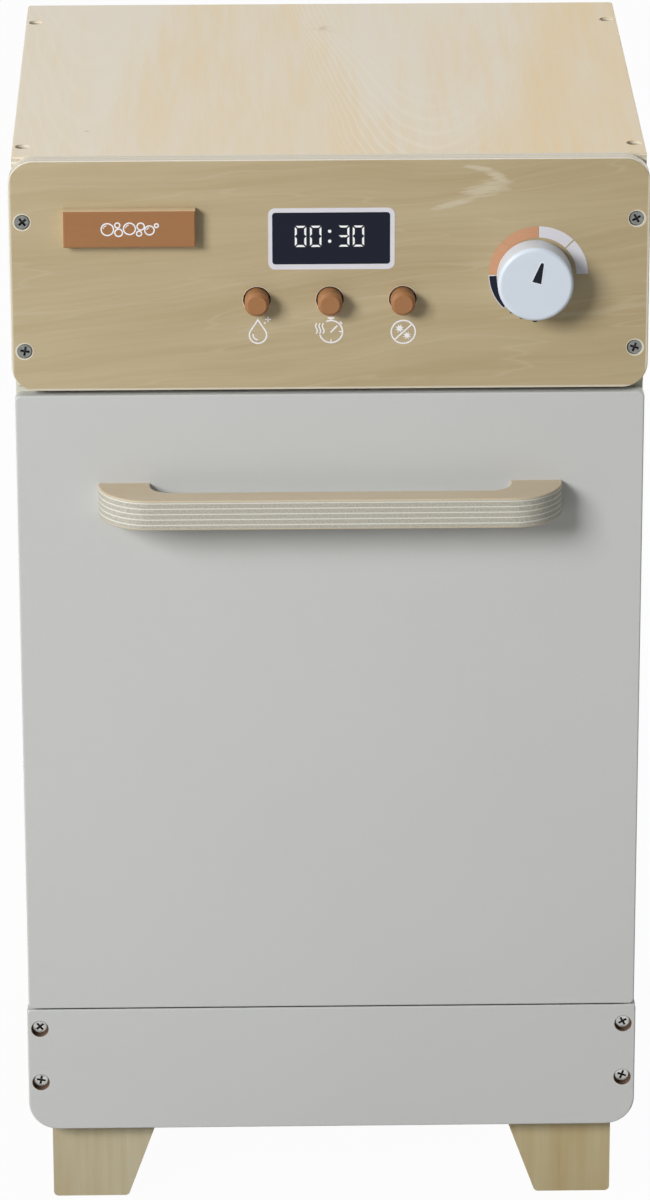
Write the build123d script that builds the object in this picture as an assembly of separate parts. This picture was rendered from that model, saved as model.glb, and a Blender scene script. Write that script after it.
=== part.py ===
from build123d import *
import os

# A toy dishwasher for a wooden play kitchen: a cabinet on four feet, with a drop-down
# door, two sliding racks behind it, and a control panel with a soap drawer, three push
# buttons and a turning knob.
# Sizes are in millimetres. X runs to the right, Y to the back and Z up. The floor is
# z = 0, and the origin lies under the middle of the whole object.

# Outside of the cabinet
BODY_WIDTH = 300.0
BODY_DEPTH = 280.0
BODY_HEIGHT = 545.0
FOOT_SHOW = 41.5

# Board thicknesses
PLY = 9.0
SIDE_BOARD = 10.0
FRONT_BOARD = 9.0
BACK_BOARD = 6.0
FOOT_BOARD = 12.0
RACK_BOARD = 6.0
HANDLE_PLY = 15.0

# The three boards that make the front
CONTROL_PANEL_HEIGHT = 113.8
CONTROL_PANEL_OVERHANG = 1.5
CONTROL_PANEL_CORNER = 12.0
CONTROL_PANEL_EDGE = 0.6
KICK_HEIGHT = 65.5
KICK_OVERHANG = 1.2
KICK_TOP_CORNER = 2.0
KICK_BOTTOM_CORNER = 14.5
DOOR_OVERHANG = 0.3
DOOR_CORNER = 2.6
DOOR_EDGE = 0.8
DOOR_HEEL = 2.2
FRONT_STEP = 0.6
DOOR_TOP_GAP = 2.6
DOOR_BOTTOM_GAP = 0.6
DOOR_REAR_GAP = 1.2
SWING_ROOM = 0.35
BOARD_EDGE = 0.8
TOP_REAR_CORNER = 2.0

# Back panel seat in the side panels
REBATE_WIDTH = 5.0

# Feet
FOOT_BOTTOM_WIDTH = 37.6
FOOT_TOP_WIDTH = 73.0
FOOT_CORNER = 2.5
FOOT_SCREW_IN = 22.0
FOOT_SCREW_LOW = 15.0
FOOT_SCREW_PITCH = 28.0

# Screws: large ones on show, small ones inside
LARGE_HEAD = 3.6
LARGE_HEAD_DEPTH = 2.4
LARGE_SHANK = 1.75
LARGE_LENGTH = 20.0
SMALL_HEAD = 2.8
SMALL_HEAD_DEPTH = 1.8
SMALL_SHANK = 1.25
SMALL_LENGTH = 16.0
HINGE_SCREW_LENGTH = 10.0
HANDLE_SCREW_LENGTH = 22.0
CROSS_WIDTH = 1.1
CROSS_SHARE = 0.62
CROSS_DEPTH = 1.5
SCREW_TURN = 40.0
SCREW_CLEARANCE = 0.05

# Screw places
TOP_BORE = 3.75
TOP_BORE_DEPTH = 4.5
TOP_SCREW_FRONT = 16.0
TOP_SCREW_REAR = 33.5
PANEL_BORE = 3.75
PANEL_BORE_DEPTH = 0.4
PANEL_SCREW_TOP = 29.8
PANEL_SCREW_BOTTOM = 20.0
KICK_BORE = 4.15
KICK_BORE_DEPTH = 3.0
KICK_SCREW_TOP = 10.3
KICK_SCREW_BOTTOM = 25.9
BACK_SCREW_END = 30.0
BACK_SCREW_ROWS = 3

# Dowels that pin the floor and the tub ceiling to the sides
DOWEL = 3.0
DOWEL_LENGTH = 20.0
DOWEL_IN_SIDE = 6.0
DOWEL_END = 60.0

# Door hinge
PIN = 1.25
PIN_RUNNING = 0.05
PIN_IN_DOOR = 12.0
PIN_SUNK = 0.3
EYE = 2.8
STRAP = 2.5
STRAP_LENGTH = 42.0
STRAP_HEIGHT = 10.0
STRAP_START = 1.0
STRAP_CORNER = 2.0
STRAP_SCREW_END = 9.0
POCKET_CLEARANCE = 0.4
POCKET_SIDE = 0.5

# Door magnets and the steel discs that they hold
MAGNET = 3.0
MAGNET_LENGTH = 6.0
MAGNET_PROUD = 0.7
MAGNET_DROP = 14.0
DISC = 4.5
DISC_THICK = 1.0

# Door handle
HANDLE_LENGTH = 222.8
HANDLE_REACH = 26.0
HANDLE_BAR = 12.2
HANDLE_FOOT = 25.0
HANDLE_OUTER_CORNER = 25.0
HANDLE_INNER_CORNER = 10.0
HANDLE_EDGE = 0.7
HANDLE_DROP = 44.4
HANDLE_SCREW_IN = 13.0

# Push buttons
BUTTON_COUNT = 3
BUTTON_PITCH = 34.6
BUTTON_DROP = 69.0
BUTTON = 5.9
BUTTON_HOLE = 6.6
BUTTON_PROUD = 8.5
BUTTON_BEVEL = 1.5
FLANGE = 8.5
FLANGE_THICK = 2.0
STEM = 2.5
STEM_RUNNING = 0.08
STEM_TAIL = 1.0
GUIDE_POCKET = 9.0
GUIDE_POCKET_DEPTH = 12.0
GUIDE_WALL = 4.0
GUIDE_RIM = 4.0
SPRING = 4.4
SPRING_WIRE = 0.4
SPRING_TURNS = 5

# Soap drawer
SOAP_FROM_SIDE = 55.4
SOAP_DROP = 31.9
SOAP_FRONT_WIDTH = 62.6
SOAP_FRONT_HEIGHT = 18.0
SOAP_FRONT_THICK = 5.3
SOAP_FRONT_EDGE = 0.8
TRAY_WIDTH = 54.0
TRAY_HEIGHT = 12.0
TRAY_LENGTH = 46.0
TRAY_WALL = 2.5
TRAY_STOP = 3.0
TRAY_CLEARANCE = 0.5
CHANNEL_WALL = 4.0
CHANNEL_FLOOR = 5.0
CHANNEL_LENGTH = 54.0

# Knob
KNOB_FROM_SIDE = 53.0
KNOB_DROP = 57.8
KNOB = 18.0
KNOB_PROUD = 15.0
KNOB_FRONT_EDGE = 2.0
KNOB_BACK_EDGE = 0.8
KNOB_SCREW = 2.0
KNOB_SCREW_IN = 10.0
KNOB_SCREW_HEAD = 4.0
KNOB_SCREW_HEAD_THICK = 2.6
KNOB_RUNNING = 0.08
WASHER = 8.0
WASHER_THICK = 1.2

# Space between two bodies that move past each other
GAP = 0.3

# Racks and their rails
RAIL_WIDTH = 12.0
RAIL_HEIGHT = 16.0
RAIL_BELOW = 5.0
GROOVE_DEPTH = 6.5
TONGUE = 6.0
RACK_RISE = 34.0
RACK_SETBACK = 28.0
RACK_REAR_GAP = 8.0
RACK_SIDE_GAP = 1.0
RACK_WALL = 6.0
RACK_WALL_HEIGHT = 20.0
RACK_FRONT = 8.0
RACK_FRONT_HEIGHT = 34.0
RACK_FRONT_CORNER = 10.0
PEG = 3.0
PEG_SEAT = 3.0
PEG_MARGIN = 17.0
LOWER_PEG_HEIGHT = 45.0
LOWER_PEG_PITCH = 30.0
UPPER_PEG_HEIGHT = 28.0
UPPER_PEG_PITCH = 60.0
SLOT_COLUMNS = 3
SLOT_WEB = 20.0
SLOT_END = 11.0
SLOT_WIDTH = 10.0
SLOT_PITCH = 30.0

# Planes and edges that follow from those sizes
side_out = BODY_WIDTH / 2
side_in = side_out - SIDE_BOARD
whole_depth = BODY_DEPTH + HANDLE_REACH - FRONT_STEP
front = HANDLE_REACH - FRONT_STEP - whole_depth / 2
rear = front + BODY_DEPTH
panel_back = front + PLY
door_front = front + FRONT_STEP
door_back = door_front + FRONT_BOARD
tub_front = door_back + DOOR_REAR_GAP
back_front = rear - BACK_BOARD
top_under = BODY_HEIGHT - PLY
panel_bottom = BODY_HEIGHT - CONTROL_PANEL_HEIGHT
kick_top = FOOT_SHOW + KICK_HEIGHT
floor_under = kick_top - PLY
door_bottom = kick_top + DOOR_BOTTOM_GAP
door_top = panel_bottom - DOOR_TOP_GAP
door_half_width = side_out + DOOR_OVERHANG
edge_middle = side_out - SIDE_BOARD / 2

# The hinge axis: as far above the door's lower edge as it is in front of its back, and the
# circle that the rounded lower front edge of the door turns through
pivot_y = door_back - FRONT_BOARD / 2
pivot_z = door_bottom + FRONT_BOARD / 2
door_swing = (FRONT_BOARD / 2 - DOOR_EDGE) * 2 ** 0.5 + DOOR_EDGE

# Controls
button_z = BODY_HEIGHT - BUTTON_DROP
button_xs = [(i - (BUTTON_COUNT - 1) / 2) * BUTTON_PITCH for i in range(BUTTON_COUNT)]
guide_back = panel_back + GUIDE_POCKET_DEPTH + GUIDE_WALL
soap_x = -side_out + SOAP_FROM_SIDE
soap_z = BODY_HEIGHT - SOAP_DROP
tray_front = front - GAP
tray_back = tray_front + TRAY_LENGTH
tray_bottom = soap_z - TRAY_HEIGHT / 2
knob_x = side_out - KNOB_FROM_SIDE
knob_z = BODY_HEIGHT - KNOB_DROP
knob_back = front - GAP

# Handle
handle_top = door_top - HANDLE_DROP
handle_middle = handle_top - HANDLE_PLY / 2

# Racks
rail_in = side_in - RAIL_WIDTH
rack_half = rail_in + TONGUE
rack_inside_half = rail_in - RACK_SIDE_GAP
rack_front = door_back + RACK_SETBACK
rack_rear = back_front - RACK_REAR_GAP
lower_rack_z = kick_top + RACK_RISE
upper_rack_z = (lower_rack_z + panel_bottom) / 2
slots_across = 2 * (rack_inside_half - RACK_WALL - SLOT_END)
slot_length = (slots_across - (SLOT_COLUMNS - 1) * SLOT_WEB) / SLOT_COLUMNS
slot_column = slot_length + SLOT_WEB
peg_line = slot_column / 2


def block(x0, x1, y0, y1, z0, z1):
    """A board or bar between two corners."""
    size = Box(x1 - x0, y1 - y0, z1 - z0)
    return Pos((x0 + x1) / 2, (y0 + y1) / 2, (z0 + z1) / 2) * size


def rod_x(radius, x0, x1, y, z):
    """A round bar along X."""
    return Pos((x0 + x1) / 2, y, z) * Rot(0, 90, 0) * Cylinder(radius, x1 - x0)


def rod_y(radius, x, y0, y1, z):
    """A round bar along Y."""
    return Pos(x, (y0 + y1) / 2, z) * Rot(90, 0, 0) * Cylinder(radius, y1 - y0)


def one_solid(shape):
    """The single solid that a finished piece must be."""
    solids = shape.solids()
    assert len(solids) == 1, len(solids)
    return solids[0]


# Turns that take a screw modelled along Z so that its head faces the named way
HEAD_UP = Rot(0, 0, 0)
HEAD_FORWARD = Rot(90, 0, 0)
HEAD_BACK = Rot(-90, 0, 0)
HEAD_RIGHT = Rot(0, 90, 0)
HEAD_LEFT = Rot(0, -90, 0)


def screw(head, head_depth, shank, length):
    """A countersunk screw with a cross recess, its head's top at z = 0."""
    cone = Pos(0, 0, -head_depth / 2) * Cone(shank, head, head_depth)
    stem = Pos(0, 0, -(head_depth + length) / 2) * Cylinder(shank, length - head_depth)
    arm = 2 * head * CROSS_SHARE
    cross = Box(arm, CROSS_WIDTH, 2 * CROSS_DEPTH) + Box(CROSS_WIDTH, arm, 2 * CROSS_DEPTH)
    return cone + stem - cross


def screw_hole(head, head_depth, shank, length, bore, bore_depth):
    """The hole for such a screw: a bore down to the head, its seat and the pilot hole."""
    shaft = shank + SCREW_CLEARANCE
    seat = Pos(0, 0, -head_depth / 2) * Cone(shaft, head + SCREW_CLEARANCE, head_depth)
    reach = length + SCREW_CLEARANCE
    pilot = Pos(0, 0, -reach / 2) * Cylinder(shaft, reach)
    over = bore_depth + 1
    mouth = Pos(0, 0, over / 2) * Cylinder(bore, over)
    return seat + pilot + mouth


def large_screw():
    return screw(LARGE_HEAD, LARGE_HEAD_DEPTH, LARGE_SHANK, LARGE_LENGTH)


def large_hole(bore, bore_depth):
    return screw_hole(LARGE_HEAD, LARGE_HEAD_DEPTH, LARGE_SHANK, LARGE_LENGTH, bore, bore_depth)


def small_screw(length=SMALL_LENGTH):
    return screw(SMALL_HEAD, SMALL_HEAD_DEPTH, SMALL_SHANK, length)


def small_hole(length=SMALL_LENGTH):
    bore = SMALL_HEAD + SCREW_CLEARANCE
    return screw_hole(SMALL_HEAD, SMALL_HEAD_DEPTH, SMALL_SHANK, length, bore, 0)


# Where each group of screws sits: the place of its head's top and the turn of its head
top_screw_places = [
    Pos(side * edge_middle, y, BODY_HEIGHT - TOP_BORE_DEPTH) * HEAD_UP
    for side in (-1, 1)
    for y in (panel_back + TOP_SCREW_FRONT, rear - TOP_SCREW_REAR)
]
panel_screw_places = [
    Pos(side * edge_middle, front + PANEL_BORE_DEPTH, z) * HEAD_FORWARD
    for side in (-1, 1)
    for z in (BODY_HEIGHT - PANEL_SCREW_TOP, panel_bottom + PANEL_SCREW_BOTTOM)
]
kick_screw_places = [
    Pos(side * edge_middle, door_front + KICK_BORE_DEPTH, z) * HEAD_FORWARD
    for side in (-1, 1)
    for z in (kick_top - KICK_SCREW_TOP, FOOT_SHOW + KICK_SCREW_BOTTOM)
]
back_screw_zs = [
    FOOT_SHOW + BACK_SCREW_END
    + i * (top_under - FOOT_SHOW - 2 * BACK_SCREW_END) / (BACK_SCREW_ROWS - 1)
    for i in range(BACK_SCREW_ROWS)
]
back_screw_places = [
    Pos(side * (side_in + REBATE_WIDTH / 2), rear, z) * HEAD_BACK
    for side in (-1, 1)
    for z in back_screw_zs
]
foot_screw_rows = [FOOT_SHOW + FOOT_SCREW_LOW, FOOT_SHOW + FOOT_SCREW_LOW + FOOT_SCREW_PITCH]
foot_screw_x = side_in - FOOT_SCREW_IN
front_foot_back = door_back + FOOT_BOARD
rear_foot_front = back_front - FOOT_BOARD
front_foot_screw_places = [
    Pos(side * foot_screw_x, front_foot_back, z) * HEAD_BACK
    for side in (-1, 1)
    for z in foot_screw_rows
]
rear_foot_screw_places = [
    Pos(side * foot_screw_x, rear_foot_front, z) * HEAD_FORWARD
    for side in (-1, 1)
    for z in foot_screw_rows
]
strap_front = tub_front + STRAP_START
strap_back = strap_front + STRAP_LENGTH
hinge_screw_ys = [strap_front + STRAP_SCREW_END, strap_back - STRAP_SCREW_END]
hinge_screw_places = [
    Pos(side * (side_in - STRAP), y, pivot_z) * (HEAD_LEFT if side > 0 else HEAD_RIGHT)
    for side in (-1, 1)
    for y in hinge_screw_ys
]
handle_screw_x = HANDLE_LENGTH / 2 - HANDLE_SCREW_IN
handle_screw_places = [
    Pos(side * handle_screw_x, door_back, handle_middle) * HEAD_BACK for side in (-1, 1)
]


def cut_at(shape, places, hole):
    """The shape with one hole at each place that reaches it."""
    for place in places:
        shape = shape - place * hole
    return shape


def driven(places, one_screw):
    """A screw at each place, each driven home to a turn of its own."""
    return [
        place * Rot(0, 0, number * SCREW_TURN) * one_screw
        for number, place in enumerate(places, start=1)
    ]


def dowel_rods(radius, extra):
    """The dowels of the floor and the tub ceiling, or with extra length their holes."""
    rods = []
    for z in (floor_under + PLY / 2, panel_bottom + PLY / 2):
        for y in (tub_front + DOWEL_END, back_front - DOWEL_END):
            for side in (-1, 1):
                outer = side_in + DOWEL_IN_SIDE + extra
                inner = side_in + DOWEL_IN_SIDE - DOWEL_LENGTH - extra
                x0, x1 = sorted((side * inner, side * outer))
                rods.append(rod_x(radius, x0, x1, y, z))
    return rods


def dowel_holes():
    return dowel_rods(DOWEL + SCREW_CLEARANCE, SCREW_CLEARANCE)


def magnet_rods(radius):
    z = door_top - MAGNET_DROP
    start = tub_front - MAGNET_PROUD
    return [rod_y(radius, s * edge_middle, start, start + MAGNET_LENGTH, z) for s in (-1, 1)]


def side_panel(side):
    """A painted side, stepped at its front edge behind each of the three front boards."""
    x0, x1 = sorted((side * side_in, side * side_out))
    outline = [
        (x0, door_back, FOOT_SHOW),
        (x0, rear, FOOT_SHOW),
        (x0, rear, top_under),
        (x0, panel_back, top_under),
        (x0, panel_back, panel_bottom),
        (x0, tub_front, panel_bottom),
        (x0, tub_front, kick_top),
        (x0, door_back, kick_top),
    ]
    board = extrude(make_face(Polyline(*outline, close=True)), SIDE_BOARD, dir=(1, 0, 0))
    low_front = board.edges().filter_by(Axis.X).group_by(Axis.Z)[0].sort_by(Axis.Y)[0]
    board = fillet(low_front, KICK_BOTTOM_CORNER)
    outer_edges = board.faces().sort_by(Axis.X)[-1 if side > 0 else 0].edges()
    rear_edge = outer_edges.filter_by(Axis.Z).sort_by(Axis.Y)[-1]
    bottom_edge = outer_edges.filter_by(Axis.Y).sort_by(Axis.Z)[0]
    board = fillet([rear_edge, bottom_edge], BOARD_EDGE)
    r0, r1 = sorted((side * side_in, side * (side_in + REBATE_WIDTH)))
    board -= block(r0, r1, back_front, rear, FOOT_SHOW, top_under)
    board = cut_at(board, top_screw_places, large_hole(TOP_BORE, TOP_BORE_DEPTH))
    board = cut_at(board, panel_screw_places, large_hole(PANEL_BORE, PANEL_BORE_DEPTH))
    board = cut_at(board, kick_screw_places, large_hole(KICK_BORE, KICK_BORE_DEPTH))
    board = cut_at(board, back_screw_places, small_hole())
    board = cut_at(board, hinge_screw_places, small_hole(HINGE_SCREW_LENGTH))
    for hole in dowel_holes() + magnet_rods(MAGNET + SCREW_CLEARANCE):
        board -= hole
    return one_solid(board)


def top_panel():
    """The top board, with deep screw bores down into the sides."""
    board = block(-side_out, side_out, panel_back, rear, top_under, BODY_HEIGHT)
    rear_corners = board.edges().filter_by(Axis.Z).group_by(Axis.Y)[-1]
    board = fillet(rear_corners, TOP_REAR_CORNER)
    upper = board.faces().sort_by(Axis.Z)[-1].edges()
    shared = upper.filter_by(Axis.X).sort_by(Axis.Y)[0]
    board = fillet([e for e in upper if e != shared], BOARD_EDGE)
    return one_solid(cut_at(board, top_screw_places, large_hole(TOP_BORE, TOP_BORE_DEPTH)))


def back_panel():
    """The back board, let into the sides and screwed from behind."""
    half = side_in + REBATE_WIDTH
    board = block(-half, half, back_front, rear, FOOT_SHOW, top_under)
    board = cut_at(board, back_screw_places, small_hole())
    board = cut_at(board, rear_foot_screw_places, small_hole())
    return one_solid(board)


def shelf_board(y0, z0):
    """A board across the cabinet, pinned to both sides."""
    board = block(-side_in, side_in, y0, back_front, z0, z0 + PLY)
    for hole in dowel_holes():
        board -= hole
    return one_solid(board)


def foot(side, y0, places):
    """A tapered foot with its grain upright, straight on its outer side."""
    x = side_in
    outline = [
        (side * x, y0, 0),
        (side * x, y0, floor_under),
        (side * (x - FOOT_TOP_WIDTH), y0, floor_under),
        (side * (x - FOOT_BOTTOM_WIDTH), y0, 0),
    ]
    board = extrude(make_face(Polyline(*outline, close=True)), FOOT_BOARD, dir=(0, 1, 0))
    corners = board.edges().filter_by(Axis.Y).group_by(Axis.Z)[0]
    board = fillet(corners, FOOT_CORNER)
    return one_solid(cut_at(board, places, small_hole()))


def front_board(half_width, y0, z0, z1, top_corner, bottom_corner):
    """A front board with rounded corners."""
    board = block(-half_width, half_width, y0, y0 + FRONT_BOARD, z0, z1)
    corners = board.edges().filter_by(Axis.Y)
    board = fillet(corners.group_by(Axis.Z)[-1], top_corner)
    corners = board.edges().filter_by(Axis.Y).filter_by(GeomType.LINE)
    return fillet(corners.group_by(Axis.Z)[0], bottom_corner)


def ease_front(board, radius):
    """The board with the edges round its front face rounded over."""
    return fillet(board.faces().sort_by(Axis.Y)[0].edges(), radius)


def control_panel():
    """The panel that carries the drawer, the buttons and the knob."""
    half = side_out + CONTROL_PANEL_OVERHANG
    board = block(-half, half, front, panel_back, panel_bottom, BODY_HEIGHT)
    board = fillet(board.edges().filter_by(Axis.Y), CONTROL_PANEL_CORNER)
    board = ease_front(board, CONTROL_PANEL_EDGE)
    for x in button_xs:
        board -= rod_y(BUTTON_HOLE, x, front - 1, panel_back + 1, button_z)
    bore = KNOB_SCREW + KNOB_RUNNING
    board -= rod_y(bore, knob_x, front - 1, panel_back + 1, knob_z)
    slot_half = TRAY_WIDTH / 2 + TRAY_CLEARANCE
    slot_low = tray_bottom - TRAY_CLEARANCE
    slot_high = tray_bottom + TRAY_HEIGHT + TRAY_CLEARANCE
    board -= block(soap_x - slot_half, soap_x + slot_half, front - 1, panel_back + 1,
                   slot_low, slot_high)
    board = cut_at(board, panel_screw_places, large_hole(PANEL_BORE, PANEL_BORE_DEPTH))
    return one_solid(board)


def kick_plate():
    """The painted board under the door, screwed to the sides through deep bores. Its top
    is hollowed for the door's lower edge to turn in."""
    half = side_out + KICK_OVERHANG
    board = front_board(half, door_front, FOOT_SHOW, kick_top, KICK_TOP_CORNER,
                        KICK_BOTTOM_CORNER)
    board = ease_front(board, BOARD_EDGE)
    board -= rod_x(door_swing + SWING_ROOM, -half - 1, half + 1, pivot_y, pivot_z)
    board = cut_at(board, kick_screw_places, large_hole(KICK_BORE, KICK_BORE_DEPTH))
    return one_solid(cut_at(board, front_foot_screw_places, small_hole()))


def hinge_bracket(side):
    """A strap screwed inside the side panel, with an eye that reaches into the door."""
    x0, x1 = sorted((side * (side_in - STRAP), side * side_in))
    low = pivot_z - STRAP_HEIGHT / 2
    plate = block(x0, x1, strap_front, strap_back, low, low + STRAP_HEIGHT)
    plate = fillet(plate.edges().filter_by(Axis.X), STRAP_CORNER)
    neck = block(x0, x1, pivot_y, strap_front + STRAP_CORNER, pivot_z - EYE, pivot_z + EYE)
    bracket = plate + neck + rod_x(EYE, x0, x1, pivot_y, pivot_z)
    bracket -= rod_x(PIN + PIN_RUNNING, x0 - 1, x1 + 1, pivot_y, pivot_z)
    return one_solid(cut_at(bracket, hinge_screw_places, small_hole(HINGE_SCREW_LENGTH)))


pocket_in = side_in - STRAP - POCKET_SIDE
pocket_out = side_in + POCKET_SIDE
pin_inner = pocket_in - PIN_IN_DOOR
pin_outer = door_half_width - PIN_SUNK


def hinge_pocket(side):
    """The room that the bracket's eye and neck need in the door from shut to open."""
    x0, x1 = sorted((side * pocket_in, side * pocket_out))
    reach = EYE + POCKET_CLEARANCE
    below = door_bottom - 1
    behind = door_back + 1
    room = rod_x(reach, x0, x1, pivot_y, pivot_z)
    room += block(x0, x1, pivot_y, behind, below, pivot_z + reach)
    return room + block(x0, x1, pivot_y - reach, behind, below, pivot_z)


def door_panel():
    """The painted drop-down door."""
    board = front_board(door_half_width, door_front, door_bottom, door_top, DOOR_CORNER,
                        DOOR_CORNER)
    board = ease_front(board, DOOR_EDGE)
    back_low = board.edges().filter_by(Axis.X).group_by(Axis.Y)[-1].sort_by(Axis.Z)[0]
    board = fillet(back_low, DOOR_HEEL)
    for side in (-1, 1):
        board -= hinge_pocket(side)
        x0, x1 = sorted((side * (pin_inner - SCREW_CLEARANCE), side * (door_half_width + 1)))
        board -= rod_x(PIN + SCREW_CLEARANCE / 2, x0, x1, pivot_y, pivot_z)
        board -= catch_disc(side, SCREW_CLEARANCE)
    board = cut_at(board, handle_screw_places, small_hole(HANDLE_SCREW_LENGTH))
    return one_solid(board)


def catch_disc(side, room=0.0):
    """The steel disc that a magnet holds, set flush in the back of the door."""
    z = door_top - MAGNET_DROP
    return rod_y(DISC + room, side * edge_middle, door_back - DISC_THICK - room,
                 door_back, z)


def hinge_pin(side):
    x0, x1 = sorted((side * pin_inner, side * pin_outer))
    return rod_x(PIN, x0, x1, pivot_y, pivot_z)


def door_handle():
    """A C-shaped handle sawn from thick plywood, its layers lying level."""
    half = HANDLE_LENGTH / 2
    tip = door_front - HANDLE_REACH
    z0 = handle_top - HANDLE_PLY
    bar = block(-half, half, tip, door_front, z0, handle_top)
    bar = fillet(bar.edges().filter_by(Axis.Z).group_by(Axis.Y)[0], HANDLE_OUTER_CORNER)
    inner = half - HANDLE_FOOT
    gap = block(-inner, inner, tip + HANDLE_BAR, door_front + HANDLE_INNER_CORNER,
                z0 - 1, handle_top + 1)
    gap = fillet(gap.edges().filter_by(Axis.Z).group_by(Axis.Y)[0], HANDLE_INNER_CORNER)
    bar -= gap
    seats = bar.faces().filter_by(Axis.Y).group_by(Axis.Y)[-1]
    seat_edges = [e for face in seats for e in face.edges()]
    rims = [e for face in bar.faces().filter_by(Axis.Z) for e in face.edges()]
    bar = fillet([e for e in rims if e not in seat_edges], HANDLE_EDGE)
    return one_solid(cut_at(bar, handle_screw_places, small_hole(HANDLE_SCREW_LENGTH)))


def button_guide():
    """A block behind the panel with a spring pocket and a stem bore for each button."""
    reach = GUIDE_POCKET + GUIDE_RIM
    body = block(button_xs[0] - reach, button_xs[-1] + reach, panel_back, guide_back,
                 button_z - reach, button_z + reach)
    for x in button_xs:
        body -= rod_y(GUIDE_POCKET, x, panel_back - 1, guide_back - GUIDE_WALL, button_z)
        body -= rod_y(STEM + STEM_RUNNING, x, panel_back, guide_back + 1, button_z)
    return one_solid(body)


flange_front = panel_back + GAP
flange_back = flange_front + FLANGE_THICK


def push_button(x):
    """A button turned in one piece: cap, collar that keeps it in, and stem."""
    cap = rod_y(BUTTON, x, front - BUTTON_PROUD, flange_front, button_z)
    rim = cap.faces().sort_by(Axis.Y)[0].edges()
    cap = chamfer(rim, BUTTON_BEVEL)
    collar = rod_y(FLANGE, x, flange_front, flange_back, button_z)
    stem = rod_y(STEM, x, flange_back, guide_back + STEM_TAIL, button_z)
    return one_solid(cap + collar + stem)


def button_spring(x):
    """The coil spring round a stem, between its collar and the guide."""
    start = flange_back + GAP + SPRING_WIRE
    length = guide_back - GUIDE_WALL - SCREW_CLEARANCE - SPRING_WIRE - start
    coil = Helix(length / SPRING_TURNS, length, SPRING, center=(x, start, button_z),
                 direction=(0, 1, 0))
    wire = Plane(origin=coil @ 0, z_dir=coil % 0) * Circle(SPRING_WIRE)
    return one_solid(sweep(wire, path=coil, is_frenet=True))


def soap_drawer_front():
    """The block that is pulled to open the soap drawer."""
    half = SOAP_FRONT_WIDTH / 2
    low = soap_z - SOAP_FRONT_HEIGHT / 2
    body = block(soap_x - half, soap_x + half, tray_front - SOAP_FRONT_THICK, tray_front,
                 low, low + SOAP_FRONT_HEIGHT)
    return one_solid(ease_front(body, SOAP_FRONT_EDGE))


def soap_drawer_tray():
    """The open tray behind it, with a taller back wall that stops it at the slot."""
    half = TRAY_WIDTH / 2
    top = tray_bottom + TRAY_HEIGHT
    body = block(soap_x - half, soap_x + half, tray_front, tray_back, tray_bottom, top)
    body -= block(soap_x - half + TRAY_WALL, soap_x + half - TRAY_WALL,
                  tray_front + TRAY_WALL, tray_back - TRAY_WALL,
                  tray_bottom + TRAY_WALL, top + 1)
    body += block(soap_x - half, soap_x + half, tray_back - TRAY_WALL, tray_back,
                  tray_bottom, top + TRAY_STOP)
    return one_solid(body)


def soap_drawer_guide():
    """The channel behind the slot that the tray runs in."""
    half = TRAY_WIDTH / 2 + TRAY_CLEARANCE
    outer = half + CHANNEL_WALL
    run = tray_bottom - GAP
    top = tray_bottom + TRAY_HEIGHT
    back = panel_back + CHANNEL_LENGTH
    body = block(soap_x - outer, soap_x + outer, panel_back, back, run - CHANNEL_FLOOR, top)
    body -= block(soap_x - half, soap_x + half, panel_back - 1, back + 1, run, top + 1)
    return one_solid(body)


def knob():
    """The round knob, with a blind hole for its screw."""
    body = rod_y(KNOB, knob_x, front - KNOB_PROUD, knob_back, knob_z)
    faces = body.faces().sort_by(Axis.Y)
    body = fillet(faces[0].edges(), KNOB_FRONT_EDGE)
    rear_rim = body.faces().sort_by(Axis.Y)[-1].edges()
    body = fillet(rear_rim, KNOB_BACK_EDGE)
    hole = KNOB_SCREW + SCREW_CLEARANCE / 2
    end = knob_back - KNOB_SCREW_IN - SCREW_CLEARANCE
    return one_solid(body - rod_y(hole, knob_x, end, knob_back + 1, knob_z))


washer_front = panel_back + GAP
washer_back = washer_front + WASHER_THICK


def knob_washer():
    ring = rod_y(WASHER, knob_x, washer_front, washer_back, knob_z)
    bore = KNOB_SCREW + SCREW_CLEARANCE / 2
    return one_solid(ring - rod_y(bore, knob_x, washer_front - 1, washer_back + 1, knob_z))


def knob_screw():
    """The screw that holds the knob from behind and turns with it."""
    shank = rod_y(KNOB_SCREW, knob_x, knob_back - KNOB_SCREW_IN, washer_back, knob_z)
    head_end = washer_back + KNOB_SCREW_HEAD_THICK
    head = rod_y(KNOB_SCREW_HEAD, knob_x, washer_back, head_end, knob_z)
    head = fillet(head.faces().sort_by(Axis.Y)[-1].edges(), KNOB_SCREW_HEAD_THICK / 3)
    slot = Pos(knob_x, head_end, knob_z) * HEAD_BACK
    arm = 2 * KNOB_SCREW_HEAD * CROSS_SHARE
    cross = Box(arm, CROSS_WIDTH, 2 * CROSS_DEPTH) + Box(CROSS_WIDTH, arm, 2 * CROSS_DEPTH)
    return one_solid(shank + head - slot * cross)


def rack_rail(side, z):
    """A grooved rail on the side panel for one edge of a rack's base."""
    x0, x1 = sorted((side * rail_in, side * side_in))
    low = z - RAIL_BELOW
    rail = block(x0, x1, tub_front, back_front, low, low + RAIL_HEIGHT)
    g0, g1 = sorted((side * (rail_in - 1), side * (rail_in + GROOVE_DEPTH)))
    return one_solid(rail - block(g0, g1, tub_front - 1, back_front - RACK_REAR_GAP / 2,
                                  z - GAP, z + RACK_BOARD + GAP))


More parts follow.
